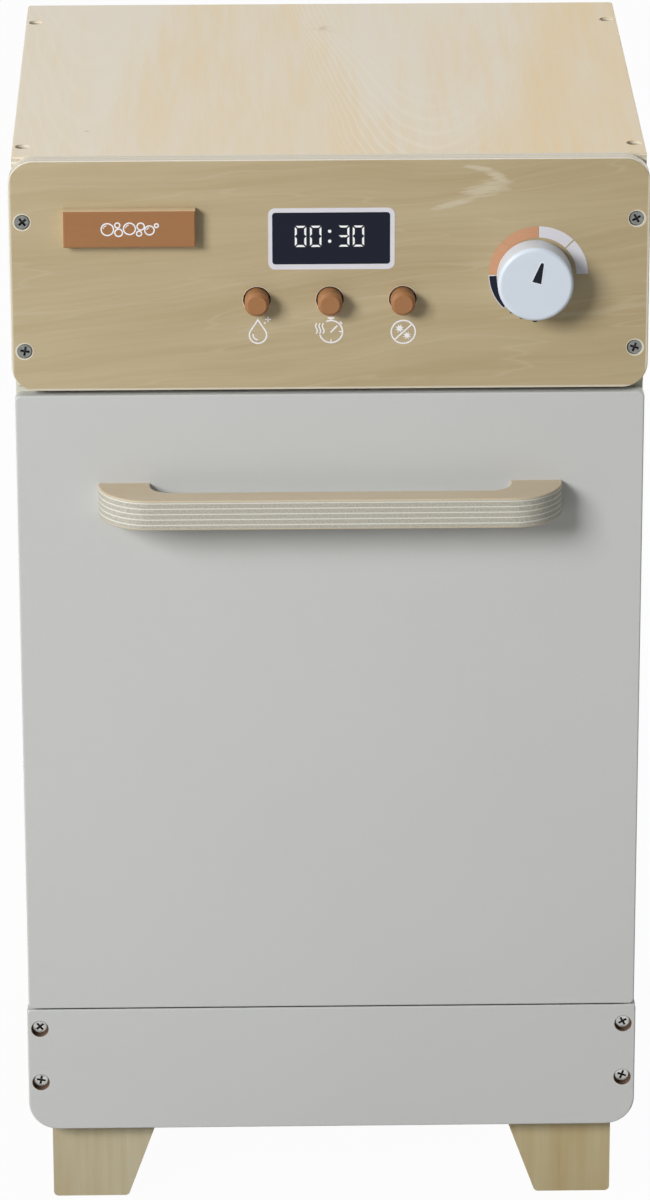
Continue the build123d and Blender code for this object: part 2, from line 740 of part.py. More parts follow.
def rack_base(z, peg_pitch):
    """A base board with rows of drain slots and a seat for each peg."""
    board = block(-rack_half, rack_half, rack_front, rack_rear, z, z + RACK_BOARD)
    middle = (rack_front + rack_rear) / 2
    inside = rack_rear - rack_front - 2 * PEG_MARGIN - SLOT_WIDTH
    rows = int(inside / SLOT_PITCH) + 1
    cutter = extrude(SlotOverall(slot_length, SLOT_WIDTH), RACK_BOARD + 2)
    for row in range(rows):
        for column in range(SLOT_COLUMNS):
            x = (column - (SLOT_COLUMNS - 1) / 2) * slot_column
            y = middle + (row - (rows - 1) / 2) * SLOT_PITCH
            board -= Pos(x, y, z - 1) * cutter
    return one_solid(cut_at(board, peg_places(z, peg_pitch), peg_hole()))


def peg_hole():
    return Pos(0, 0, PEG_SEAT / 2) * Cylinder(PEG + SCREW_CLEARANCE, PEG_SEAT)


def peg_places(z, pitch):
    """Where the pegs stand in a base board, as the bottoms of their seats."""
    middle = (rack_front + rack_rear) / 2
    inside = rack_rear - rack_front - 2 * PEG_MARGIN
    count = int(inside / pitch) + 1
    seat = z + RACK_BOARD - PEG_SEAT
    return [
        Pos(side * peg_line, middle + (i - (count - 1) / 2) * pitch, seat)
        for side in (-1, 1)
        for i in range(count)
    ]


def rack_pegs(z, pitch, height):
    """The round-topped pegs that hold the dishes apart."""
    length = PEG_SEAT + height
    peg = Pos(0, 0, length / 2) * Cylinder(PEG, length)
    peg = fillet(peg.faces().sort_by(Axis.Z)[-1].edges(), PEG * 0.6)
    return [place * peg for place in peg_places(z, pitch)]


def rack_front_bar(z):
    """The taller front of a rack, with rounded upper corners."""
    low = z + RACK_BOARD
    bar = block(-rack_inside_half, rack_inside_half, rack_front, rack_front + RACK_FRONT,
                low, low + RACK_FRONT_HEIGHT)
    upper = bar.edges().filter_by(Axis.Y).group_by(Axis.Z)[-1]
    return one_solid(fillet(upper, RACK_FRONT_CORNER))


def rack_back_bar(z):
    low = z + RACK_BOARD
    return one_solid(block(-rack_inside_half, rack_inside_half, rack_rear - RACK_WALL,
                           rack_rear, low, low + RACK_WALL_HEIGHT))


def rack_side_bars(z):
    """The two low walls along a rack, between its front and its back."""
    low = z + RACK_BOARD
    y0 = rack_front + RACK_FRONT
    y1 = rack_rear - RACK_WALL
    bars = []
    for side in (-1, 1):
        x0, x1 = sorted((side * (rack_inside_half - RACK_WALL), side * rack_inside_half))
        bars.append(block(x0, x1, y0, y1, low, low + RACK_WALL_HEIGHT))
    return bars


os.makedirs("parts", exist_ok=True)


def save(name, *shapes):
    """Write one node, made of one or more separate solids."""
    solids = [solid for shape in shapes for solid in shape.solids()]
    whole = solids[0] if len(solids) == 1 else Compound(children=solids)
    export_step(whole, f"parts/{name}.step")


# Cabinet
save("top_panel", top_panel())
save("left_side_panel", side_panel(-1))
save("right_side_panel", side_panel(1))
save("back_panel", back_panel())
save("floor_panel", shelf_board(door_back, floor_under))
save("tub_ceiling", shelf_board(panel_back, panel_bottom))
save("control_panel", control_panel())
save("kick_plate", kick_plate())
for name, side in (("left", -1), ("right", 1)):
    save(f"front_{name}_foot", foot(side, door_back, front_foot_screw_places))
    save(f"rear_{name}_foot", foot(side, rear_foot_front, rear_foot_screw_places))
    save(f"{name}_hinge_bracket", hinge_bracket(side))
    save(f"lower_{name}_rail", rack_rail(side, lower_rack_z))
    save(f"upper_{name}_rail", rack_rail(side, upper_rack_z))
save("cabinet_dowels", *dowel_rods(DOWEL, 0))
save("top_screws", *driven(top_screw_places, large_screw()))
save("control_panel_screws", *driven(panel_screw_places, large_screw()))
save("kick_plate_screws", *driven(kick_screw_places, large_screw()))
save("back_screws", *driven(back_screw_places, small_screw()))
foot_screw_places = front_foot_screw_places + rear_foot_screw_places
save("foot_screws", *driven(foot_screw_places, small_screw()))
save("hinge_screws", *driven(hinge_screw_places, small_screw(HINGE_SCREW_LENGTH)))
save("door_magnets", *magnet_rods(MAGNET))
save("button_guide", button_guide())
save("soap_drawer_guide", soap_drawer_guide())

# Door
save("door_panel", door_panel())
save("door_handle", door_handle())
save("handle_screws", *driven(handle_screw_places, small_screw(HANDLE_SCREW_LENGTH)))
save("hinge_pins", hinge_pin(-1), hinge_pin(1))
save("catch_discs", catch_disc(-1), catch_disc(1))

# Racks
rack_sizes = (
    ("lower", lower_rack_z, LOWER_PEG_PITCH, LOWER_PEG_HEIGHT),
    ("upper", upper_rack_z, UPPER_PEG_PITCH, UPPER_PEG_HEIGHT),
)
for name, z, pitch, height in rack_sizes:
    save(f"{name}_rack_base", rack_base(z, pitch))
    save(f"{name}_rack_front", rack_front_bar(z))
    save(f"{name}_rack_back", rack_back_bar(z))
    save(f"{name}_rack_sides", *rack_side_bars(z))
    save(f"{name}_rack_pegs", *rack_pegs(z, pitch, height))

# Controls
for number, x in enumerate(button_xs, start=1):
    save(f"button_{number}", push_button(x))
    save(f"button_spring_{number}", button_spring(x))
save("soap_drawer_front", soap_drawer_front())
save("soap_drawer_tray", soap_drawer_tray())
save("knob", knob())
save("knob_washer", knob_washer())
save("knob_screw", knob_screw())
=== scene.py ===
import math

import bmesh
import bpy
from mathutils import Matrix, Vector


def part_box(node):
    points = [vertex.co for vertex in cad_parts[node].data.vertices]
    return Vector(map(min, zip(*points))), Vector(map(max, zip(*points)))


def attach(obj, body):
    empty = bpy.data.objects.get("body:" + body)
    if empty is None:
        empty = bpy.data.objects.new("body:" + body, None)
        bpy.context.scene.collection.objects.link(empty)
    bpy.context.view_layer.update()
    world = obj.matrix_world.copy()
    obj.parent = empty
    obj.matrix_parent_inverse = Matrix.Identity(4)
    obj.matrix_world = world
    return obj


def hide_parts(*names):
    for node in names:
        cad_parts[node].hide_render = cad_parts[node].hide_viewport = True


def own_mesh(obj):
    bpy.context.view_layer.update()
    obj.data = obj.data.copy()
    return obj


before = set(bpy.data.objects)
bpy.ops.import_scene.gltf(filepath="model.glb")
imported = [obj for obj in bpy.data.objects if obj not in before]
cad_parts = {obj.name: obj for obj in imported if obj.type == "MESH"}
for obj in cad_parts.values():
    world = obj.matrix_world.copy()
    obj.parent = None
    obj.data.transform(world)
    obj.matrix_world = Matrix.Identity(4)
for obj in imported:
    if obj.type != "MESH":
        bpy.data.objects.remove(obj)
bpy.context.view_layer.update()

# Camera
# It stands where the photograph was taken from: nearly three metres in front of the toy,
# a little to the left, looking down at it through a long lens.
CAMERA_PLACE = Vector((-0.0434, -2.8403, 1.3537))
CAMERA_DOWN = 21.291
CAMERA_RIGHT = 1.309
CAMERA_LENS = 180.06
PICTURE_PIXELS = (650, 1200)
LENS_AXIS_PIXEL = (369.1, 652.6)

camera_data = bpy.data.cameras.new("camera")
camera_data.lens = CAMERA_LENS
camera_data.shift_x = (PICTURE_PIXELS[0] / 2 - LENS_AXIS_PIXEL[0]) / PICTURE_PIXELS[1]
camera_data.shift_y = (LENS_AXIS_PIXEL[1] - PICTURE_PIXELS[1] / 2) / PICTURE_PIXELS[1]
camera = bpy.data.objects.new("camera", camera_data)
camera.location = CAMERA_PLACE
camera.rotation_euler = (math.radians(90 - CAMERA_DOWN), 0, math.radians(-CAMERA_RIGHT))
bpy.context.scene.collection.objects.link(camera)
bpy.context.scene.camera = camera
bpy.context.scene.view_settings.view_transform = "Standard"


# Floor and light
# A pale studio floor, one soft lamp high in front and far to the left, and two weaker ones
# over and behind the toy. The camera sees the sky as white and the floor as nearly white.
def add_node(tree, kind, settings=None, values=None):
    """Adds a node: first its settings, then its sockets by name or by number.

    A socket takes a plain value, or the output that feeds it, or a list of such outputs.
    """
    made = tree.nodes.new(kind)
    for name, value in (settings or {}).items():
        setattr(made, name, value)
    sockets = [socket for socket in made.inputs if socket.enabled]
    for key, value in (values or {}).items():
        by_name = [socket for socket in sockets if socket.name == key]
        socket = by_name[0] if by_name else sockets[key]
        for source in value if isinstance(value, list) else [value]:
            if isinstance(source, Wire):
                source = source.socket
            if isinstance(source, bpy.types.NodeSocket):
                tree.links.new(source, socket)
            else:
                socket.default_value = source
    return {out.name: out for out in made.outputs if out.enabled}


class Wire:
    """One output of a shader node. Python maths on it adds Math nodes."""

    def __init__(self, tree, socket):
        self.tree = tree
        self.socket = socket

    def maths(self, operation, *terms):
        values = dict(enumerate(terms))
        made = add_node(self.tree, "ShaderNodeMath", {"operation": operation}, values)
        return Wire(self.tree, made["Value"])

    def __add__(self, other):
        return self.maths("ADD", self, other)

    def __sub__(self, other):
        return self.maths("SUBTRACT", self, other)

    def __rsub__(self, other):
        return self.maths("SUBTRACT", other, self)

    def __mul__(self, other):
        return self.maths("MULTIPLY", self, other)

    def __pow__(self, other):
        return self.maths("POWER", self, other)

    def __gt__(self, other):
        return self.maths("GREATER_THAN", self, other)

    def __lt__(self, other):
        return self.maths("LESS_THAN", self, other)

    def __abs__(self):
        return self.maths("ABSOLUTE", self)

    def least(self, other):
        return self.maths("MINIMUM", self, other)

    def most(self, other):
        return self.maths("MAXIMUM", self, other)

    def fraction(self):
        return self.maths("FRACT", self)

    def sine(self):
        return self.maths("SINE", self)

    __radd__ = __add__
    __rmul__ = __mul__


class Finish:
    """A material that is put together from nodes.

    Plain numbers in a finish are shares of a mix, steps of a ramp or waves of its noise.
    """

    def __init__(self, name):
        self.material = bpy.data.materials.new(name)
        self.material.use_nodes = True
        self.tree = self.material.node_tree
        self.tree.nodes.clear()

    def node(self, kind, settings=None, values=None):
        made = add_node(self.tree, kind, settings, values)
        return {name: Wire(self.tree, socket) for name, socket in made.items()}

    def mix(self, factor, first, second):
        """A colour between two others."""
        values = {"Factor": factor, "A": first, "B": second}
        return self.node("ShaderNodeMix", {"data_type": "RGBA"}, values)["Result"]

    def ramp(self, value, low, high):
        """A smooth step from 0 at low to 1 at high."""
        values = {"Value": value, "From Min": low, "From Max": high}
        settings = {"interpolation_type": "SMOOTHSTEP"}
        return self.node("ShaderNodeMapRange", settings, values)["Result"]

    def noise(self, place, stretch, detail=2.0, roughness=0.5):
        """Smooth noise with the given number of waves per metre along each axis."""
        values = {"Vector": place, "Scale": stretch}
        moved = self.node("ShaderNodeMapping", {}, values)["Vector"]
        values = {"Vector": moved, "Scale": 1.0, "Detail": detail, "Roughness": roughness}
        return self.node("ShaderNodeTexNoise", {}, values)["Fac"]

    def place(self):
        """The place on the object, whole and in its three parts."""
        whole = self.node("ShaderNodeTexCoord")["Object"]
        return whole, self.node("ShaderNodeSeparateXYZ", {}, {"Vector": whole})

    def end(self, shader):
        """Joins the last shader to the material's output."""
        self.node("ShaderNodeOutputMaterial", {}, {"Surface": shader})

    def surface(self, height, relief, **values):
        """Ends the material in a Principled shader whose bump follows a height."""
        values = {key.replace("_", " "): value for key, value in values.items()}
        bump = {"Height": height, "Distance": relief, "Strength": 1.0}
        values["Normal"] = self.node("ShaderNodeBump", {}, bump)["Normal"]
        self.end(self.node("ShaderNodeBsdfPrincipled", {}, values)["BSDF"])


def tint(red, green, blue):
    """A colour given as a screen shows it, from 0 to 255, as a shader needs it."""
    parts = [level / 255 for level in (red, green, blue)]
    linear = [p / 12.92 if p <= 0.04045 else ((p + 0.055) / 1.055) ** 2.4 for p in parts]
    return (*linear, 1.0)


def deeper(colour, share):
    """A darker shade of a colour."""
    return tuple(level * share for level in colour[:3]) + (1.0,)


def link(thing):
    bpy.context.scene.collection.objects.link(thing)
    return thing


FLOOR_HALF = 8.0
FLOOR_COLOUR = tint(180, 180, 178)
FLOOR_GLOW_SHARE = 0.965

floor_finish = Finish("studio_floor")
rays = floor_finish.node("ShaderNodeLightPath")
seen = rays["Is Camera Ray"] + rays["Is Glossy Ray"] + rays["Is Transmission Ray"]
paper = floor_finish.node("ShaderNodeBsdfDiffuse", {}, {"Color": FLOOR_COLOUR})["BSDF"]
glow = floor_finish.node("ShaderNodeEmission", {}, {"Strength": 1.0})["Emission"]
values = {"Fac": seen * FLOOR_GLOW_SHARE, 1: paper, 2: glow}
floor_finish.end(floor_finish.node("ShaderNodeMixShader", {}, values)["Shader"])

floor_mesh = bpy.data.meshes.new("studio_floor")
corners = [(-1, -1), (1, -1), (1, 1), (-1, 1)]
corners = [(x * FLOOR_HALF, y * FLOOR_HALF, 0) for x, y in corners]
floor_mesh.from_pydata(corners, [], [(0, 1, 2, 3)])
floor_mesh.materials.append(floor_finish.material)
floor = link(bpy.data.objects.new("studio_floor", floor_mesh))

LAMPS = [
    # name, place, point that it faces, side, power
    ("front_lamp", (-2.4, -2.5, 1.98), (0.0, -0.1, 0.3), 1.35, 142.0),
    ("roof_lamp", (-0.3, 0.4, 2.4), (0.0, 0.0, 0.4), 1.6, 15.0),
    ("back_lamp", (2.3, 1.9, 1.4), (0.0, 0.1, 0.3), 1.6, 60.0),
]
WORLD_LEVEL = 0.16

for name, place, aim, side, power in LAMPS:
    lamp_data = bpy.data.lights.new(name, "AREA")
    lamp_data.size = side
    lamp_data.energy = power
    lamp = link(bpy.data.objects.new(name, lamp_data))
    lamp.location = place
    lamp.rotation_euler = (Vector(aim) - Vector(place)).to_track_quat("-Z", "Y").to_euler()

world = bpy.data.worlds.new("studio")
world.use_nodes = True
bpy.context.scene.world = world
sky = world.node_tree
sky.nodes.clear()
sky_seen = Wire(sky, add_node(sky, "ShaderNodeLightPath")["Is Camera Ray"])
values = {"Color": tint(255, 255, 255), "Strength": sky_seen * (1.0 - WORLD_LEVEL) + WORLD_LEVEL}
sky_light = add_node(sky, "ShaderNodeBackground", {}, values)["Background"]
add_node(sky, "ShaderNodeOutputWorld", {}, {"Surface": sky_light})


# Top board
# Nine millimetre birch plywood with clear matt lacquer. Its peeled face veneer shows pale
# tongues with soft contour lines, and its sawn edges and bores show the crossed layers.
MM = 0.001
AXES = "XYZ"
# Waves of a board's fibres per metre: along the grain, across it and through the board
FIBRE_WAVES = (35, 1500, 1500)
FIBRE_RELIEF = 0.06 * MM
# Share of a layer at each face of a board that still has the face veneer's colour
SKIN = 0.6


def dress(finish, *names):
    """Gives CAD nodes a finish in their material slots."""
    for name in names:
        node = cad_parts[name]
        if not node.material_slots:
            node.data.materials.append(None)
        for holder in node.material_slots:
            holder.material = finish.material


class Plywood(Finish):
    """Plywood whose grain runs along one axis and whose layers are counted along another."""

    def __init__(self, name, grain, depth, face, thickness, layers, colours, **look):
        super().__init__(name)
        self.pale, self.warm, self.edge_pale, self.edge_dark = colours
        self.whole, self.parts = self.place()
        parts = self.parts
        across = parts[next(axis for axis in AXES if axis not in (grain, depth))]
        into = abs(parts[depth]) if look.get("two_walls") else parts[depth]
        values = {"X": parts[grain], "Y": across, "Z": parts[depth] + look.get("seed", 0.0)}
        self.board = self.node("ShaderNodeCombineXYZ", {}, values)["Vector"]
        self.fibre = self.noise(self.board, FIBRE_WAVES, 2.0, 0.6)

        count = abs(into - face) * (layers / thickness)
        skin = look.get("skin", SKIN)
        inner = (count > skin) * (count < layers - skin)
        sawn, relief = self.sawn(count, (count * 0.5).fraction())
        colour = self.mix(inner, self.veneer(), sawn)
        height = self.fibre * 0.5 + inner * relief
        self.surface(height, FIBRE_RELIEF, Base_Color=colour, Roughness=0.5 + 0.12 * self.fibre)

    def sawn(self, count, pair):
        """Layers on an edge: long grain pale, end grain darker, a thin glue line between."""
        end_grain = self.ramp(abs(pair - 0.75), 0.27, 0.22)
        glue = self.ramp(abs(count.fraction() - 0.5), 0.4, 0.5)
        pores = self.noise(self.whole, (900, 900, 900), 1.0)
        colour = self.mix(end_grain * (0.4 + 1.2 * pores), self.edge_pale, self.edge_dark)
        colour = self.mix(glue * 0.5, colour, self.edge_dark)
        return colour, end_grain * pores * 2.0 - glue * 0.8

    def veneer(self):
        """Peeled figure: broad bands with contour lines of a slow hilly field."""
        hills = self.noise(self.board, (4.5, 20, 6), 1.2, 0.45)
        drift = self.noise(self.board, (22, 90, 40), 2.0)
        rings = self.wave(hills * 9.0 + drift * 0.35)
        broad = self.ramp(self.noise(self.board, (5, 26, 9), 2.0), 0.3, 0.72)
        streak = self.noise(self.board, (14, 230, 230), 2.0, 0.55)
        warmth = broad * 0.55 + streak * 0.3 + self.fibre * 0.25 - 0.05
        return self.mix(rings * 0.3, self.mix(warmth, self.pale, self.warm), self.pale)

    def wave(self, turns):
        """Thin lines, one for each whole turn."""
        return self.ramp((turns * (2 * math.pi)).sine(), 0.3, 1.0)


TOP_LOW, TOP_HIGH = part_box("top_panel")
BOARD = TOP_HIGH.z - TOP_LOW.z
BOARD_LAYERS = 7
# The top's colours are this plywood at the level the top is lit to; the panel below is the same
# plywood with painted shade
BIRCH_TOP_LIT = (tint(219, 210, 193), tint(220, 200, 165), tint(226, 220, 206), tint(200, 187, 164))
TOP_LINE = tint(228, 219, 202)
# Centre, where the tongue starts, how fast it opens, strength of its contour lines
TONGUES = [(0.053, -0.1505, 0.0127, 0.42), (-0.114, -0.1, 0.006, 0.2)]
TONGUE_LINES = 3300.0
KNOTS = [(0.001, 0.103, 0.008), (-0.115, -0.077, 0.002)]
KNOT_COLOUR = tint(168, 150, 128)


class TopBirch(Plywood):
    """The top's face: two pale tongues that open to the back, and a warmer zone between."""

    def veneer(self):
        x, y = self.parts["X"], self.parts["Y"]
        drift = self.noise(self.whole, (24, 7, 1), 1.6) - 0.5
        inside, lines = 0.0, 0.0
        for centre, front, spread, strength in TONGUES:
            field = (x + drift * 0.02 - centre) ** 2 - (y - front) * spread
            inside = self.ramp(field, 0.0008, -0.0012) + inside
            flank = self.ramp(x - centre, 0.03, -0.02) * 0.8 + 0.2
            near = self.ramp(abs(field), 0.0028, 0.0) * flank * strength
            lines = near * self.wave(field * TONGUE_LINES) + lines
        streak = self.noise(self.whole, (230, 12, 1), 3.0, 0.65) - 0.5
        broad = self.noise(self.whole, (30, 5, 1), 3.0, 0.6) - 0.5
        warmth = 0.52 - inside * 0.5 + streak * 1.3 + broad * 1.3 + x * 1.6
        colour = self.mix(warmth + (self.fibre - 0.5) * 0.3, self.pale, self.warm)
        colour = self.mix(lines, colour, TOP_LINE)
        ripple = self.ramp(self.noise(self.whole, (260, 150, 1), 2.0), 0.42, 0.62)
        for spot_x, spot_y, size in KNOTS:
            spot = self.ramp((x - spot_x) ** 2 + (y - spot_y) ** 2, size * size, 0.0)
            colour = self.mix(spot * ripple * 0.4, colour, KNOT_COLOUR)
        return colour


dress(TopBirch("top_birch", "Y", "Z", TOP_HIGH.z, BOARD, BOARD_LAYERS, BIRCH_TOP_LIT), "top_panel")


# Control panel
# An upright board of the same plywood with rounded corners, held by four dark screws. Its
# face is greyer, partly its own veneer and partly painted shade: its colours are set darker
# than the top's for the upright face. It has slightly slanting streaks and one pale curl in the
# veneer.
PANEL_LOW, PANEL_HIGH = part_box("control_panel")
# The same plywood as the top, set darker as painted shade for the upright face, and greyer in its
# own veneer
BIRCH_PANEL_SHADED = (tint(187, 171, 138), tint(169, 151, 113), tint(216, 211, 198), tint(198, 189, 171))
PANEL_SKIN = 0.07
PANEL_LINE = tint(204, 193, 168)
PANEL_SLANT = 0.1
# Soft ellipses that make up the curl: middle, half length, half height and slant
CURL = [
    (0.0740, 0.5302, 0.0130, 0.0040, 14), (0.0590, 0.5232, 0.0115, 0.0018, 15),
    (0.0795, 0.5360, 0.0075, 0.0026, -32), (0.0700, 0.5405, 0.0080, 0.0014, -8),
]
# The saw leaves a pale line along the outline and round each bore
RIM_COLOUR = tint(216, 208, 188)
OUTLINE_RIM = (1.5 * MM, 0.8 * MM)
BORE_RIM_FADE = 0.3 * MM
PANEL_SCREW_X, PANEL_SCREW_ZS, SCREW_RIM = 0.1453, (0.4512, 0.5152), 4.45 * MM
BUTTON_RIM = 7.0 * MM
RIMS = [(side * PANEL_SCREW_X, z, SCREW_RIM) for side in (-1, 1) for z in PANEL_SCREW_ZS]
for number in (1, 2, 3):
    low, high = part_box(f"button_{number}")
    RIMS.append(((low.x + high.x) / 2, (low.z + high.z) / 2, BUTTON_RIM))


def slanted(aside, up, degrees):
    """A place's two parts, measured along and across a slanting line."""
    cosine, sine = math.cos(math.radians(degrees)), math.sin(math.radians(degrees))
    return aside * cosine + up * sine, up * cosine - aside * sine


class PanelBirch(Plywood):
    """The panel's face: slightly slanting streaks, one pale curl and pale rims of the bores."""

    def veneer(self):
        x, z = self.parts["X"], self.parts["Z"]
        bend = self.noise(self.whole, (7, 1, 16), 2.0) - 0.5
        values = {"X": x, "Z": z - x * PANEL_SLANT + bend * 0.03}
        flow = self.node("ShaderNodeCombineXYZ", {}, values)["Vector"]
        broad = self.noise(flow, (4, 1, 55), 3.0, 0.55) - 0.5
        streak = self.noise(flow, (10, 1, 330), 2.0, 0.6) - 0.5
        line = self.ramp(abs(self.noise(flow, (5, 1, 70), 2.0) - 0.47), 0.012, 0.0)
        # The x term makes the face warmer and darker towards the right.
        warmth = 0.45 + x * 1.2 + broad * 1.6 + streak * 0.9 + (self.fibre - 0.5) * 0.3
        colour = self.mix(warmth, self.pale, self.warm)
        curl = line * 0.18
        ragged = (self.noise(flow, (75, 1, 420), 4.0, 0.65) - 0.5) * 3.4
        for curl_x, curl_z, long, high, turn in CURL:
            along, up = slanted(x - curl_x, z - curl_z, turn)
            field = (along * (1 / long)) ** 2 + (up * (1 / high)) ** 2 + ragged
            curl = curl.most(self.ramp(field, 1.4, -0.2) * 0.75)
        colour = self.mix(curl, colour, PANEL_LINE)
        border = (PANEL_HIGH.x - x).least(x - PANEL_LOW.x).least(z - PANEL_LOW.z)
        colour = self.mix(self.ramp(border, *OUTLINE_RIM) * 0.85, colour, RIM_COLOUR)
        for rim_x, rim_z, radius in RIMS:
            reach = ((x - rim_x) ** 2 + (z - rim_z) ** 2) ** 0.5
            rim = self.ramp(reach, radius, radius - BORE_RIM_FADE)
            colour = self.mix(rim, colour, RIM_COLOUR)
        return colour


panel_birch = PanelBirch(
    "panel_birch", "X", "Y", PANEL_LOW.y, BOARD, BOARD_LAYERS, BIRCH_PANEL_SHADED, skin=PANEL_SKIN,
)
dress(panel_birch, "control_panel")


# Painted boards
# Fibreboard with two coats of satin paint: the sides cream, the door and the kick plate a
# cooler grey white. The roller leaves a faint orange peel. The screws' bores show bare
# board, and a thin ring round each bore on the face is painted shadow of the gap round the head.
FRONT_PAINT = tint(198, 199, 197)
SIDE_PAINT = tint(216, 214, 198)
# Bare board colour for the bore walls, also used as a painted shadow ring round each screw head
BARE_BOARD_AND_SHADOW = tint(96, 74, 56)
ORANGE_PEEL = 0.035 * MM
SATIN = 0.42
PAINT_SPECULAR = 0.35
SCREW_LOW, SCREW_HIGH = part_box("kick_plate_screws")
HEAD = 3.6 * MM
BARE_AND_SHADOW_REACH = 4.35 * MM
HEAD_X = SCREW_HIGH.x - HEAD
HEAD_ZS = (SCREW_LOW.z + HEAD, SCREW_HIGH.z - HEAD)


def painted(name, colour, bores=()):
    """Satin paint. Bores at given distances from the middle and heights show bare board, ringed by
    painted shadow.
    """
    finish = Finish(name)
    place, parts = finish.place()
    cloud = finish.noise(place, (5, 5, 5), 2.0)
    fine = finish.noise(place, (520, 520, 520), 2.0, 0.6)
    uneven = finish.ramp(cloud, 0.3, 0.75) * 0.5 + fine * 0.25
    coat = finish.mix(uneven, colour, deeper(colour, 0.94))
    for bore_x, bore_z in bores:
        reach = (abs(parts["X"]) - bore_x) ** 2 + (parts["Z"] - bore_z) ** 2
        # bare board inside the bore; the reach past its edge paints a shadow ring round the screw
        # head
        coat = finish.mix(reach < BARE_AND_SHADOW_REACH * BARE_AND_SHADOW_REACH, coat, BARE_BOARD_AND_SHADOW)
    finish.surface(fine, ORANGE_PEEL, Base_Color=coat, Roughness=SATIN + 0.08 * cloud,
                   Specular_IOR_Level=PAINT_SPECULAR)
    return finish


dress(painted("side_paint", SIDE_PAINT), "left_side_panel", "right_side_panel")
dress(painted("door_paint", FRONT_PAINT), "door_panel")
dress(painted("kick_paint", FRONT_PAINT, [(HEAD_X, z) for z in HEAD_ZS]), "kick_plate")


# Door handle
# A C-shaped grip sawn from thick birch plywood that lies flat, so eleven layers show all
# round it. Two screws hold it from behind the door.
HANDLE_LOW, HANDLE_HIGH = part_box("door_handle")
HANDLE_LAYERS = 11
BIRCH_HANDLE = (tint(199, 186, 163), tint(193, 175, 147), tint(187, 184, 171), tint(157, 153, 139))
HANDLE_LINE = tint(223, 222, 212)
HANDLE_SPECKLES = (1100, 1100, 1900)


class HandleBirch(Plywood):
    """The handle's edge: a thin bright layer after every broad speckled one."""

    def sawn(self, count, pair):
        bright = self.ramp(abs(pair - 0.5), 0.15, 0.05)
        grains = self.noise(self.whole, HANDLE_SPECKLES, 2.0, 0.7)
        speckled = self.mix(self.ramp(grains, 0.32, 0.62), self.edge_dark, self.edge_pale)
        return self.mix(bright * 0.9, speckled, HANDLE_LINE), grains * 0.15


handle_birch = HandleBirch(
    "handle_birch", "X", "Z", HANDLE_HIGH.z, HANDLE_HIGH.z - HANDLE_LOW.z, HANDLE_LAYERS,
    BIRCH_HANDLE, seed=0.15,
)
dress(handle_birch, "door_handle")


# Hidden plywood
# The back, the tub's floor and ceiling, the racks and the guides behind the panel, all
# sanded plywood without lacquer, in five, seven or eleven layers.
INNER = (tint(214, 199, 170), tint(203, 181, 145), tint(216, 204, 180), tint(166, 144, 112))
INNER_LAYERS = 5
INNER_BOARDS = [
    # node, grain, direction of its thickness, number of layers
    ("back_panel", "Z", "Y", INNER_LAYERS),
    ("floor_panel", "X", "Z", BOARD_LAYERS),
    ("tub_ceiling", "X", "Z", BOARD_LAYERS),
    ("lower_rack_base", "X", "Z", INNER_LAYERS),
    ("upper_rack_base", "X", "Z", INNER_LAYERS),
    ("lower_rack_front", "X", "Y", INNER_LAYERS),
    ("upper_rack_front", "X", "Y", INNER_LAYERS),
    ("lower_rack_back", "X", "Y", INNER_LAYERS),
    ("upper_rack_back", "X", "Y", INNER_LAYERS),
    ("button_guide", "X", "Y", HANDLE_LAYERS),
    ("soap_drawer_guide", "Y", "Z", HANDLE_LAYERS),
]

for number, (name, grain, depth, layers) in enumerate(INNER_BOARDS):
    low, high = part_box(name)
    axis = AXES.index(depth)
    board = Plywood(
        f"{name}_birch", grain, depth, high[axis], high[axis] - low[axis], layers, INNER,
        seed=0.17 * number,
    )
    dress(board, name)

RACK_WALL = 6.0 * MM
for level in ("lower", "upper"):
    wall_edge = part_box(f"{level}_rack_sides")[1].x
    walls = Plywood(
        f"{level}_rack_sides_birch", "Y", "X", wall_edge, RACK_WALL, INNER_LAYERS, INNER,
        two_walls=True, seed=0.4,
    )
    dress(walls, f"{level}_rack_sides")


# Solid wood
# Feet, rails, pegs, dowels and the soap tray are sanded birch or beech without layers, each
# cut with the grain along its length.
WOOD_RELIEF = 0.05 * MM
# The right feet are given warmer, darker tones than the left ones.
FOOT_TONES = {
    "left": (tint(188, 180, 153), tint(174, 155, 118)),
    "right": (tint(184, 172, 137), tint(172, 151, 107)),
}
BEECH_PALE, BEECH_WARM = tint(214, 196, 164), tint(196, 168, 130)


class SolidWood(Finish):
    """Plain wood with its grain along one axis."""

    def __init__(self, name, grain, pale, warm, seed=0.0):
        super().__init__(name)
        values = {"Vector": self.place()[0], "Location": (seed, seed, seed)}
        place = self.node("ShaderNodeMapping", {}, values)["Vector"]

        def along(slow, fast):
            return tuple(slow if axis == grain else fast for axis in AXES)

        broad = self.ramp(self.noise(place, along(6, 45), 2.0), 0.3, 0.7)
        streak = self.noise(place, along(12, 260), 2.0, 0.6) - 0.5
        fibre = self.noise(place, along(40, 1500), 1.0)
        warmth = broad * 0.6 + streak + fibre * 0.15 + 0.15
        colour = self.mix(warmth, pale, warm)
        self.surface(fibre, WOOD_RELIEF, Base_Color=colour, Roughness=0.5 + 0.1 * fibre)


